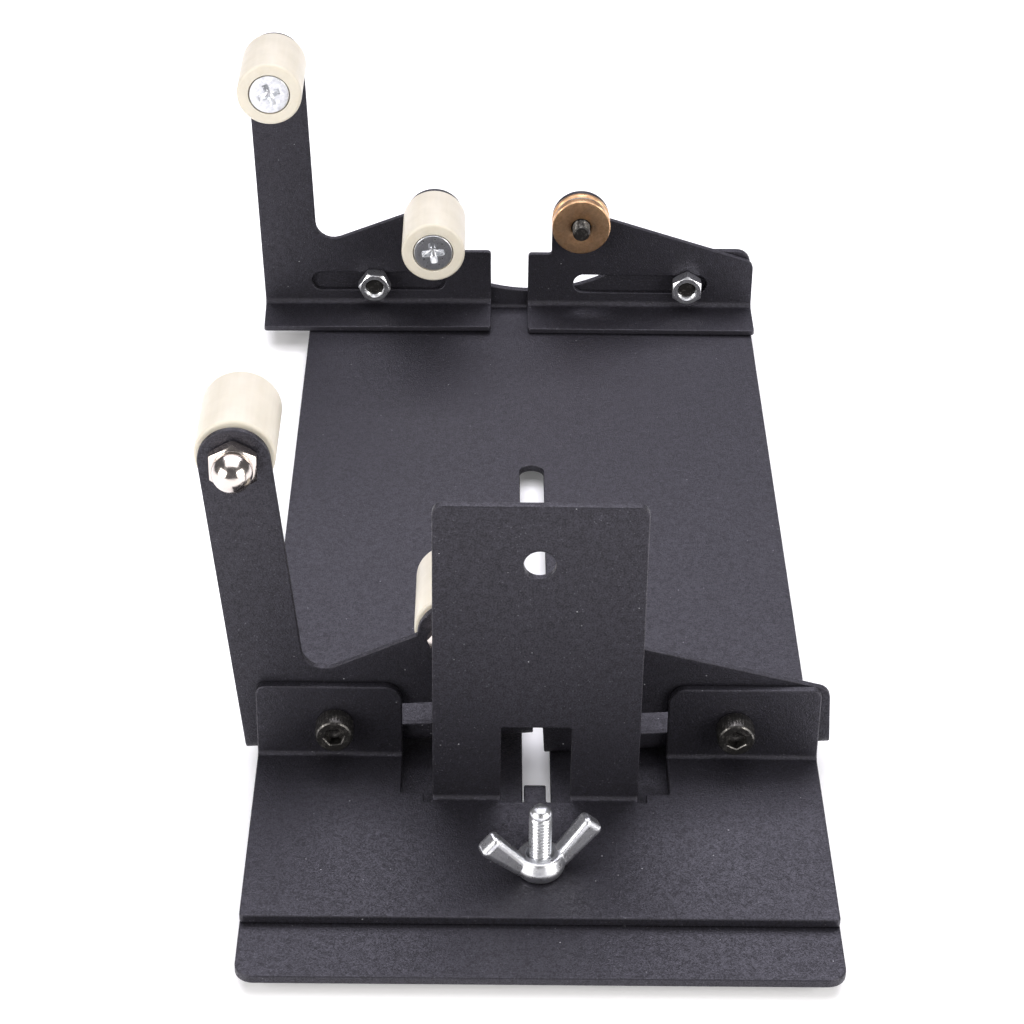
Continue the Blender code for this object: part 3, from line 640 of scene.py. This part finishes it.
def carriage_plate():
    """The sliding plate: two tabs, the end stop and the slot key, all bent from one sheet."""
    inside = PLATE_BEND_INSIDE
    outside = PLATE + inside
    tab_bend = CARRIAGE_TAB_FACE - inside
    stop_bend = STOP_FACE - inside
    key_bend = KEY_FACE - inside - PLATE
    tab_top = tab_bend + folded_reach(TAB_TOP - outside, inside)
    hole_at = tab_bend + folded_reach(TAB_HOLE_HEIGHT - outside, inside)
    stop_top = stop_bend + folded_reach(STOP_TOP - outside, inside)
    stop_hole = stop_bend + folded_reach(STOP_HOLE_HEIGHT - outside, inside)
    notch_top = stop_bend + folded_reach(NOTCH_TOP - outside, inside)
    key_end = key_bend + folded_reach(PLATE + KEY_DROP - outside, inside)
    half = BASE_WIDTH / 2
    inner = [
        (TAB_INNER_X, tab_top, TAB_INNER_CORNER),
        (TAB_INNER_X, CUTOUT_FRONT, 0.4 * MM),
        (RELIEF_OUTER_X, CUTOUT_FRONT, 0.4 * MM),
        (RELIEF_OUTER_X, RELIEF_FRONT, 0.5 * MM),
        (STOP_WIDTH / 2, RELIEF_FRONT, 0.5 * MM),
        (STOP_WIDTH / 2, stop_top, STOP_CORNER),
    ]
    right = [(half, CARRIAGE_FRONT, CARRIAGE_CORNER), (half, tab_top, TAB_OUTER_CORNER)]
    right += [(x + PUNCH_OFFSET, y, radius) for x, y, radius in inner]
    left = [(PUNCH_OFFSET - x, y, radius) for x, y, radius in reversed(inner)]
    left += [(-half, tab_top, TAB_OUTER_CORNER), (-half, CARRIAGE_FRONT, CARRIAGE_CORNER)]
    notch = NOTCH_WIDTH / 2
    key = KEY_WIDTH / 2
    window = [
        (-notch, RELIEF_FRONT, 0.5 * MM),
        (-key, RELIEF_FRONT, 0.5 * MM),
        (-key, key_end, 0.5 * MM),
        (key, key_end, 0.5 * MM),
        (key, RELIEF_FRONT, 0.5 * MM),
        (notch, RELIEF_FRONT, 0.5 * MM),
        (notch, notch_top, 0.5 * MM),
        (-notch, notch_top, 0.5 * MM),
    ]
    loops = [
        rounded(right + left),
        rounded([(x + PUNCH_OFFSET, y, radius) for x, y, radius in window], steps=3),
        circle(PUNCH_OFFSET, stop_hole, STOP_HOLE),
        circle(0, CLAMP_Y, M5_HOLE),
        circle(PUNCH_OFFSET - TAB_HOLE_X, hole_at, M5_HOLE),
        circle(PUNCH_OFFSET + TAB_HOLE_X, hole_at, M5_HOLE),
    ]
    sheet = sheet_mesh(loops, PLATE, PLATE_EDGE)
    key_side = (notch + key) / 2
    stop_side = (STOP_WIDTH / 2 + RELIEF_OUTER_X) / 2
    tab_side = (TAB_INNER_X + RELIEF_OUTER_X) / 2

    def in_tab(point):
        return abs(point.x - PUNCH_OFFSET) > tab_side

    def in_key(point):
        return abs(point.x - PUNCH_OFFSET) < key_side and point.y < key_end + 0.1 * MM

    def in_stop(point):
        return abs(point.x - PUNCH_OFFSET) < stop_side and not in_key(point)

    fold(sheet, tab_bend, inside, PLATE, in_tab)
    fold(sheet, stop_bend, inside, PLATE, in_stop)
    fold(sheet, key_bend, inside, PLATE, in_key, up=False)
    place = STAND @ Matrix.Translation((0, 0, BASE_TOP + GAP))
    piece("carriage_plate", sheet, "powder_coat", place, weighted=True)


def web_height(z):
    """Where on the flat bracket a point lies that ends z above the bracket's underside."""
    outside = BRACKET_SHEET + BRACKET_BEND_INSIDE
    return BRACKET_DEPTH - outside + folded_reach(z - outside, BRACKET_BEND_INSIDE)


def arm_outline():
    """The bracket with the tall arm at its outer end, x = 0, and the low head beyond it."""
    lean = math.degrees(ARM_LEAN)
    tall_x = TALL_HEAD_RADIUS / math.cos(ARM_LEAN) - TALL_HEAD_HEIGHT * math.tan(ARM_LEAN)
    corners = [(0, -1, 0), (BRACKET_WIDTH, -1, 0), (BRACKET_WIDTH, SHOULDER_TOP, 1.0 * MM)]
    corners += [(LOW_HEAD_X + HEAD_RADIUS, SHOULDER_TOP, 0.8 * MM)]
    low = arc(LOW_HEAD_X, LOW_HEAD_HEIGHT, HEAD_RADIUS, 0, 176, HEAD_STEPS)
    corners += [(x, z, 0) for x, z in low]
    corners += [(LOW_HEAD_X - HEAD_RADIUS, LOW_HEAD_HEIGHT + 0.6 * MM, 0)]
    corners += [ARM_ROOT]
    tall = arc(tall_x, TALL_HEAD_HEIGHT, TALL_HEAD_RADIUS, lean, lean + 180, HEAD_STEPS)
    corners += [(x, z, 0) for x, z in tall]
    return corners, [(tall_x, TALL_HEAD_HEIGHT), (LOW_HEAD_X, LOW_HEAD_HEIGHT)]


def slope_outline():
    """The bracket with one head near its inner end, x = 0, and a slope down to its outer end."""
    head = arc(CUTTER_HEAD_X, CUTTER_HEAD_HEIGHT, HEAD_RADIUS, -2, 180, HEAD_STEPS)
    corners = [(0, -1, 0), (BRACKET_WIDTH, -1, 0), (BRACKET_WIDTH, SLOPE_END, 3.0 * MM)]
    corners += [(x, z, 0) for x, z in head]
    corners += [(CUTTER_HEAD_X - HEAD_RADIUS, SHOULDER_TOP, 0.8 * MM), (0, SHOULDER_TOP, 1.0 * MM)]
    return corners, [(CUTTER_HEAD_X, CUTTER_HEAD_HEIGHT)]


def bracket(node, outline, holes, hole_size, mirrored, place):
    """An L bracket. Its web's outer face is at y = BRACKET_DEPTH and its foot runs to y = 0."""
    corners = []
    for x, z, radius in outline:
        corners.append((x, 0, 1.0 * MM) if z < 0 else (x, web_height(z), radius))
    middle = web_height(BRACKET_SLOT_HEIGHT)
    long_hole = slot(BRACKET_WIDTH / 2, middle, BRACKET_SLOT_LENGTH, BRACKET_SLOT_WIDTH)
    loops = [rounded(corners), long_hole]
    loops += [circle(x, web_height(z), hole_size) for x, z in holes]
    if mirrored:
        loops = [[(-x, y) for x, y in reversed(loop)] for loop in loops]
    sheet = sheet_mesh(loops, BRACKET_SHEET, BRACKET_EDGE)
    bend = BRACKET_DEPTH - BRACKET_SHEET - BRACKET_BEND_INSIDE
    fold(sheet, bend, BRACKET_BEND_INSIDE, BRACKET_SHEET, lambda point: True)
    piece(node, sheet, "powder_coat", place, weighted=True)


# Turned and threaded pieces, each along its own +Z.


def profile_rings(corners):
    """Rings from (radius, z, rounding) corners, the first and last left sharp."""
    return rounded(corners, closed=False, steps=4)


def foot_shape():
    """A low rubber foot, narrower at the floor."""
    height = FOOT_HEIGHT - GAP
    corners = [(0, height, 0), (6.0 * MM, height, 0.3 * MM), (5.2 * MM, 0, 0.7 * MM), (0, 0, 0)]
    return revolved(profile_rings(corners), 48)


def socket_screw_shape(length):
    """A socket head cap screw, its head's underside at z = 0, its shank along +z."""
    head = SOCKET_HEAD_RADIUS
    top = -SOCKET_HEAD_HEIGHT

    def knurled(angle):
        wave = abs((angle * KNURLS / (2 * math.pi)) % 1 - 0.5) * 2
        return head - 0.13 * MM * wave

    hex_wall = hexagon(SOCKET_ACROSS)
    hex_lip = hexagon(SOCKET_ACROSS + 0.4 * MM)
    end = length - 0.05 * MM
    shank = thread_rings(2.45 * MM, 2.08 * MM, M5_PITCH, 0.6 * MM, end, 0.6 * MM)
    rings = [(0, length), (1.9 * MM, length)]
    rings += list(reversed(shank))
    rings += [(2.45 * MM, 0.3 * MM), (2.6 * MM, 0), (head - 0.45 * MM, 0)]
    rings += [(head - 0.13 * MM, -0.25 * MM), (knurled, -0.5 * MM), (knurled, -3.9 * MM)]
    rings += [(head - 0.12 * MM, -4.1 * MM), (head - 0.15 * MM, -4.35 * MM)]
    rings += [(head - 0.3 * MM, -4.75 * MM), (head - 0.62 * MM, top)]
    rings += [(3.0 * MM, top), (hex_lip, top), (hex_wall, top + 0.2 * MM)]
    rings += [(hex_wall, top + 2.5 * MM), (1.4 * MM, top + 2.6 * MM), (0, top + 3.2 * MM)]
    return revolved(rings, 144)


def hex_nut_shape():
    """A plain nut with 30 degree chamfers and a threaded bore that clears its screw."""
    height = NUT_HEIGHT
    side = hexagon(NUT_ACROSS)
    face = NUT_ACROSS / 2 * 0.965
    rings = [
        (2.85 * MM, 0),
        (face, 0),
        (side, lambda angle: 0.05 * MM + (side(angle) - face) * CHAMFER_SLOPE),
        (side, lambda angle: height - 0.05 * MM - (side(angle) - face) * CHAMFER_SLOPE),
        (face, height),
        (2.85 * MM, height),
        (2.62 * MM, height - 0.35 * MM),
    ]
    bore = thread_rings(2.56 * MM, 2.86 * MM, M5_PITCH, 0.4 * MM, height - 0.45 * MM)
    rings += list(reversed(bore))
    rings += [(2.62 * MM, 0.4 * MM)]
    return revolved(rings, 96, closed=True)


def cap_nut_shape():
    """A low domed nut: seat at z = 0, a blind threaded bore, a chamfered hexagon and a ball."""
    side = hexagon(CAP_NUT_ACROSS)
    face = CAP_NUT_ACROSS / 2 * 0.95
    top = CAP_NUT_HEX
    rings = [(0, 5.5 * MM), (3.05 * MM, 5.3 * MM)]
    rings += list(reversed(thread_rings(3.02 * MM, 3.2 * MM, M6_PITCH, 0.5 * MM, 5.2 * MM)))
    rings += [(3.5 * MM, 0), (face, 0), (side, lambda angle: (side(angle) - face) * CHAMFER_SLOPE)]
    rings += [(side, lambda angle: top - 0.15 * MM - (side(angle) - face) * CHAMFER_SLOPE)]
    rings += [(face, top - 0.05 * MM), (face - 0.12 * MM, top)]
    start = math.degrees(math.asin((top - CAP_NUT_BALL_MIDDLE) / CAP_NUT_BALL))
    ball = arc(0, CAP_NUT_BALL_MIDDLE, CAP_NUT_BALL, start, 90, 24)
    rings += ball[:-1] + [(0, ball[-1][1])]
    return revolved(rings, 96)


def cross(reach, width):
    """Radius of a cross-shaped recess at an angle, with soft inner corners."""

    def radius(angle):
        off = abs((angle + math.pi / 4) % (math.pi / 2) - math.pi / 4)
        arm = reach / math.cos(off)
        side = width / max(math.sin(off), 1e-4)
        return 1 / (arm**-8 + side**-8) ** (1 / 8)

    return radius


def roller_screw_shape():
    """A countersunk screw with a cross recess, its head face at z = 0, its shank along +z."""
    shank = 2.95 * MM
    head = CSK_HEAD / 2
    cone = CSK_RIM + head - shank
    tip = CSK_LENGTH
    threads = thread_rings(shank, 2.5 * MM, M6_PITCH, 18.0 * MM, tip - 0.05 * MM, 0.8 * MM)
    rings = [(0, tip), (2.2 * MM, tip)]
    rings += list(reversed(threads))
    rings += [(shank, cone), (head - 0.05 * MM, CSK_RIM + 0.05 * MM), (head, CSK_RIM - 0.1 * MM)]
    rings += [(head, 0.18 * MM), (head - 0.16 * MM, 0.02 * MM), (head - 0.5 * MM, 0)]
    rings += [(3.6 * MM, 0), (cross(3.12 * MM, 0.98 * MM), 0.02 * MM)]
    rings += [(cross(2.92 * MM, 0.82 * MM), 0.28 * MM), (cross(2.1 * MM, 0.68 * MM), 1.35 * MM)]
    rings += [(cross(1.25 * MM, 0.55 * MM), 2.0 * MM), (0, 2.5 * MM)]
    return revolved(rings, 96)


def roller_shape():
    """A nylon roller, its countersunk end at z = 0."""
    bore = ROLLER_BORE / 2
    mouth = CSK_HEAD / 2 + ROLLER_PLAY
    sink = CSK_RIM + ROLLER_PLAY
    corners = [
        (bore, ROLLER_LENGTH, 0.2 * MM),
        (ROLLER_RADIUS, ROLLER_LENGTH, 0.7 * MM),
        (ROLLER_RADIUS, 0, 0.8 * MM),
        (mouth, 0, 0.12 * MM),
        (mouth, sink, 0),
        (bore, sink + mouth - bore, 0),
    ]
    return revolved(rounded(corners, steps=6), 96, closed=True)


def disc_shape(width, outer, rear_edge, front_edge):
    """A disc with a bore. Its faces are at z = 0, the front, and z = width, the rear."""
    bore = CUTTER_BORE / 2
    corners = [
        (bore, width, 0.15 * MM),
        (outer - rear_edge, width, 0.05 * MM),
        (outer, width - rear_edge, 0.05 * MM),
        (outer, front_edge, 0.08 * MM),
        (outer - front_edge, 0, 0.08 * MM),
        (bore, 0, 0.2 * MM),
    ]
    return revolved(rounded(corners, steps=3), 128, closed=True)


def clamp_bolt_shape():
    """The carriage bolt in the stand's own heights: its domed head is under the base plate."""
    head_top = FOOT_HEIGHT - GAP
    head = 6.0 * MM
    neck = 2.4 * MM

    def square(angle):
        return neck / max(abs(math.cos(angle)), abs(math.sin(angle)))

    rings = [(0, 0.6 * MM), (2.6 * MM, 0.72 * MM), (4.4 * MM, 1.15 * MM), (5.5 * MM, 1.75 * MM)]
    rings += [(head, 2.35 * MM), (head, head_top - 0.25 * MM), (head - 0.25 * MM, head_top)]
    rings += [(square, head_top), (square, BASE_TOP - 0.3 * MM), (2.3 * MM, BASE_TOP - 0.1 * MM)]
    rings += thread_rings(2.45 * MM, 2.16 * MM, M5_PITCH, 5.4 * MM, 22.3 * MM, 0.4 * MM)
    tip = 2.42 * MM
    start = CLAMP_TIP - CLAMP_POINT
    rings += [(2.1 * MM, 22.4 * MM), (tip, 22.55 * MM), (tip, start)]
    for i in range(1, 12):
        angle = math.radians(90 * i / 12)
        rings.append((tip * math.cos(angle), start + CLAMP_POINT * math.sin(angle)))
    rings.append((0, CLAMP_TIP))
    return revolved(rings, 60)


def evaluated(shapes, modifiers):
    """One mesh made from several closed shapes after a list of (type, settings) modifiers."""
    mesh = bpy.data.meshes.new("working")
    whole = bmesh.new()
    for shape in shapes:
        part = bpy.data.meshes.new("shape")
        shape.to_mesh(part)
        shape.free()
        whole.from_mesh(part)
        bpy.data.meshes.remove(part)
    whole.to_mesh(mesh)
    whole.free()
    working = bpy.data.objects.new("working", mesh)
    bpy.context.scene.collection.objects.link(working)
    for kind, settings in modifiers:
        step = working.modifiers.new(kind.title(), kind)
        for key, setting in settings.items():
            setattr(step, key, setting)
    graph = bpy.context.evaluated_depsgraph_get()
    done = bpy.data.meshes.new_from_object(working.evaluated_get(graph))
    bpy.data.objects.remove(working)
    result = bmesh.new()
    result.from_mesh(done)
    bpy.data.meshes.remove(done)
    return result


def wing_nut_shape():
    """A cast hub with two stout wings, blended into each other, and a threaded bore."""
    corners = [(0, 0, 0), (4.6 * MM, 0, 0.8 * MM), (5.6 * MM, 2.2 * MM, 1.6 * MM)]
    corners += [(4.5 * MM, WING_HUB_HEIGHT, 0.8 * MM), (0, WING_HUB_HEIGHT, 0)]
    shapes = [revolved(profile_rings(corners), 64)]
    outline = [
        (1.8 * MM, 0.9 * MM, 0.3 * MM),
        (5.1 * MM, 0.7 * MM, 1.6 * MM),
        (13.9 * MM, 8.9 * MM, 1.2 * MM),
        (10.1 * MM, 12.7 * MM, 1.2 * MM),
        (3.6 * MM, 4.8 * MM, 0.8 * MM),
        (1.8 * MM, 4.4 * MM, 0.3 * MM),
    ]
    for side in (1, -1):
        loop = [(side * x, z) for x, z in rounded(outline)]
        wing = sheet_mesh([loop], WING_THICKNESS, WING_EDGE)
        bmesh.ops.translate(wing, verts=wing.verts, vec=(0, 0, -WING_THICKNESS / 2))
        bmesh.ops.rotate(wing, verts=wing.verts, matrix=Matrix.Rotation(math.pi / 2, 3, "X"))
        shapes.append(wing)
    cast = [
        ("REMESH", {"mode": "VOXEL", "voxel_size": WING_VOXEL, "adaptivity": 0.0}),
        ("SMOOTH", {"factor": 0.5, "iterations": 6}),
    ]
    body = evaluated(shapes, cast)
    cutter = bpy.data.objects.new("bore", bpy.data.meshes.new("bore"))
    rings = [(0, -1 * MM), (3.4 * MM, -1 * MM), (3.05 * MM, 0.0), (2.62 * MM, 0.42 * MM)]
    rings += thread_rings(2.86 * MM, 2.56 * MM, M5_PITCH, 0.45 * MM, 4.4 * MM)
    rings += [(2.62 * MM, 4.5 * MM), (3.0 * MM, 4.9 * MM), (3.4 * MM, 6 * MM), (0, 6 * MM)]
    bore = revolved(rings, 60)
    bore.to_mesh(cutter.data)
    bore.free()
    bpy.context.scene.collection.objects.link(cutter)
    cut = [("BOOLEAN", {"operation": "DIFFERENCE", "solver": "EXACT", "object": cutter})]
    result = evaluated([body], cut)
    bpy.data.objects.remove(cutter)
    return result


# Assembly.


def shift(x, y, z):
    return Matrix.Translation((x, y, z))


def spin(degrees):
    return Matrix.Rotation(math.radians(degrees), 4, "Z")


def bracket_frame(spot):
    """(frame of the bracket, frame of its screw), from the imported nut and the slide's axis."""
    low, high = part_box(spot + "_bracket_nut")
    front = spot.startswith("front")
    back = BRACKET_SHEET + GAP
    y = low.y - back if front else high.y + back
    screw = Vector(((low.x + high.x) / 2, y, (low.z + high.z) / 2))
    joint = next(j for j in frame["joints"] if j["name"] == spot + "_slide")
    along = Vector(joint["axis"]).normalized()
    across = Vector((0, 1, 0))
    up = along.cross(across)
    at, rise = SCREW_AT[spot]
    holder = Matrix((along, across, up)).transposed().to_4x4()
    holder.translation = screw - along * at + up * (rise - BRACKET_SLOT_HEIGHT)
    return holder, Matrix.Translation(screw)


def roller(name, face, x, z, reach, turned, nut_turned):
    """A roller, its screw and its cap nut. reach is -1 if its free end faces the front."""
    end = reach * (ROLLER_LENGTH + ROLLER_GAP)
    turn = TO_REAR if reach < 0 else TO_FRONT
    away = face @ shift(x, end, z) @ turn
    piece(name, roller_shape(), "nylon", away, sharp=30)
    piece(name + "_screw", roller_screw_shape(), "zinc", away @ spin(turned), sharp=28)
    seat = face @ shift(x, -reach * (BRACKET_SHEET + GAP), z) @ turn
    piece(name + "_cap_nut", cap_nut_shape(), "nickel", seat @ spin(nut_turned), sharp=24)


def scoring_wheel(face, x, z):
    """Two grooved brass discs with a thin steel one between them, and the screw they turn on."""
    at = -ROLLER_PLAY
    stack = [
        ("cutter_rear_disc", 2.0 * MM, CUTTER_RADIUS, 0.3 * MM, 0.75 * MM, "brass"),
        ("cutter_blade", 0.5 * MM, CUTTER_RADIUS - 0.3 * MM, 0.2 * MM, 0.2 * MM, "hard_steel"),
        ("cutter_front_disc", 2.9 * MM, CUTTER_RADIUS, 0.75 * MM, 0.25 * MM, "brass"),
    ]
    for name, width, outer, rear_edge, front_edge, finish in stack:
        at -= width
        shape = disc_shape(width, outer, rear_edge, front_edge)
        piece(name, shape, finish, face @ shift(x, at, z) @ TO_REAR, sharp=30)
        at -= 0.1 * MM
    screw = socket_screw_shape(CUTTER_REACH)
    place = face @ shift(x, BRACKET_SHEET + GAP, z) @ TO_FRONT
    piece("cutter_axle_screw", screw, "black_oxide", place, sharp=26)


def brackets():
    """The four brackets, and what each one carries."""
    turns = {
        "rear_left_upper_roller": (-21, 10),
        "rear_left_lower_roller": (-6, 40),
        "front_left_upper_roller": (33, -4),
        "front_left_lower_roller": (12, 22),
        "front_right_roller": (50, 9),
    }
    nut_turns = {"rear_left": 35, "rear_right": 0, "front_left": 14, "front_right": 48}
    for spot in SCREW_AT:
        holder, screw = bracket_frame(spot)
        front = spot.startswith("front")
        outline, heads = arm_outline() if "left" in spot else slope_outline()
        is_cutter = spot == "rear_right"
        hole = M5_HOLE if is_cutter else M6_HOLE
        if front:
            place = holder @ shift(0, BRACKET_DEPTH, 0) @ spin(180)
            face, reach, turn, away = holder @ shift(0, BRACKET_SHEET, 0), 1, TO_REAR, -1
        else:
            place = holder @ shift(0, -BRACKET_DEPTH, 0)
            face, reach, turn, away = holder @ shift(0, -BRACKET_SHEET, 0), -1, TO_FRONT, 1
        bracket(spot + "_bracket", outline, heads, hole, front, place)
        names = [spot + "_upper_roller", spot + "_lower_roller"]
        if len(heads) == 1:
            names = [spot + "_roller"]
        for name, (x, z) in zip(names, heads):
            if is_cutter:
                scoring_wheel(face, x, z)
            else:
                roller(name, face, x, z, reach, *turns[name])
        head_at = screw @ shift(0, away * (PLATE + 2 * GAP), 0) @ turn
        nut_at = screw @ shift(0, -away * (BRACKET_SHEET + GAP), 0) @ turn
        head_at = head_at @ spin(nut_turns[spot] + 8)
        nut_at = nut_at @ spin(-nut_turns[spot])
        head = socket_screw_shape(BRACKET_SCREW_LENGTH)
        piece(spot + "_bracket_screw", head, "black_oxide", head_at, sharp=26)
        piece(spot + "_bracket_nut", hex_nut_shape(), "zinc", nut_at, sharp=24)


base_plate()
carriage_plate()
for corner in ("front_left", "front_right", "rear_left", "rear_right"):
    foot_low, foot_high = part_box("foot_" + corner)
    centre = (foot_low + foot_high) / 2
    piece("foot_" + corner, foot_shape(), "rubber", shift(centre.x, centre.y, 0))
piece("clamp_bolt", clamp_bolt_shape(), "zinc", STAND @ shift(0, CLAMP_Y, 0), sharp=30)
wing_low, wing_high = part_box("wing_nut")
wing_place = STAND @ shift(0, CLAMP_Y, wing_low.z) @ spin(WING_TURN)
piece("wing_nut", wing_nut_shape(), "zinc", wing_place, sharp=50)
brackets()


# Studio.


def stage(name, shape, finish, height=0.0):
    """Part of the studio, not of the object."""
    mesh = bpy.data.meshes.new(name)
    shape.to_mesh(mesh)
    shape.free()
    mesh.materials.append(finish)
    made = bpy.data.objects.new(name, mesh)
    made.location.z = height
    bpy.context.scene.collection.objects.link(made)
    return made


def floor():
    """A floor seen to 1 m out, and round it a white surround that casts no light."""
    finish = pale_floor()
    near = bmesh.new()
    bmesh.ops.create_circle(near, cap_ends=True, segments=96, radius=FLOOR_RADIUS)
    stage("floor", near, finish)
    far = bmesh.new()
    bmesh.ops.create_grid(far, x_segments=1, y_segments=1, size=FAR_FLOOR_REACH)
    stage("far_floor", far, finish, -0.5 * MM).visible_camera = False
    dome = bmesh.new()
    bmesh.ops.create_icosphere(dome, subdivisions=4, radius=SURROUND_RADIUS)
    around = stage("surround", dome, white_surround())
    around.visible_diffuse = False
    around.visible_glossy = False
    around.visible_transmission = False
    around.visible_volume_scatter = False
    around.visible_shadow = False


def softbox(name, place, aim, width, depth, power, tint):
    light = bpy.data.lights.new(name, "AREA")
    light.shape = "RECTANGLE"
    light.size = width
    light.size_y = depth
    light.energy = power
    light.color = tint
    lamp = bpy.data.objects.new(name, light)
    lamp.location = place
    direction = Vector(aim) - Vector(place)
    lamp.rotation_euler = direction.to_track_quat("-Z", "Y").to_euler()
    bpy.context.scene.collection.objects.link(lamp)


def studio():
    floor()
    softbox("top", (0.0, 0.05, 1.15), (0, 0.05, 0), 1.4, 1.2, 11, (0.98, 0.97, 1.0))
    softbox("rear", (0.0, 0.85, 1.25), (0, 0, 0.03), 1.8, 0.9, 22, (0.92, 0.90, 1.0))
    softbox("front_left", (-0.97, -0.75, 0.45), (0, 0, 0.03), 0.9, 0.7, 15.5, (1.0, 0.98, 0.96))
    softbox("front_right", (0.97, -0.75, 0.45), (0, 0, 0.03), 0.9, 0.7, 15.5, (1.0, 0.98, 0.96))
    world = bpy.data.worlds.new("studio")
    world.use_nodes = True
    world.node_tree.nodes["Background"].inputs["Color"].default_value = (0.95, 0.93, 1.0, 1.0)
    world.node_tree.nodes["Background"].inputs["Strength"].default_value = 0.14
    bpy.context.scene.world = world
    bpy.context.scene.view_settings.view_transform = "Standard"


def camera():
    """The camera of the photograph: about 0.7 m away, looking down along the stand."""
    right = Vector((0.99991709, -0.0022073, 0.01268648))
    up = Vector((-0.00951057, 0.53761248, 0.8431384))
    back = -Vector((0.00868146, 0.84318915, -0.53754692))
    view = Matrix((right, up, back)).transposed().to_4x4()
    view.translation = (-0.0041185, -0.5849128, 0.3964988)
    data = bpy.data.cameras.new("camera")
    data.sensor_width = 36.0
    data.lens = 100.352
    data.clip_start = 0.01
    data.clip_end = 20.0
    eye = bpy.data.objects.new("camera", data)
    bpy.context.scene.collection.objects.link(eye)
    eye.matrix_world = view
    bpy.context.scene.camera = eye


studio()
camera()
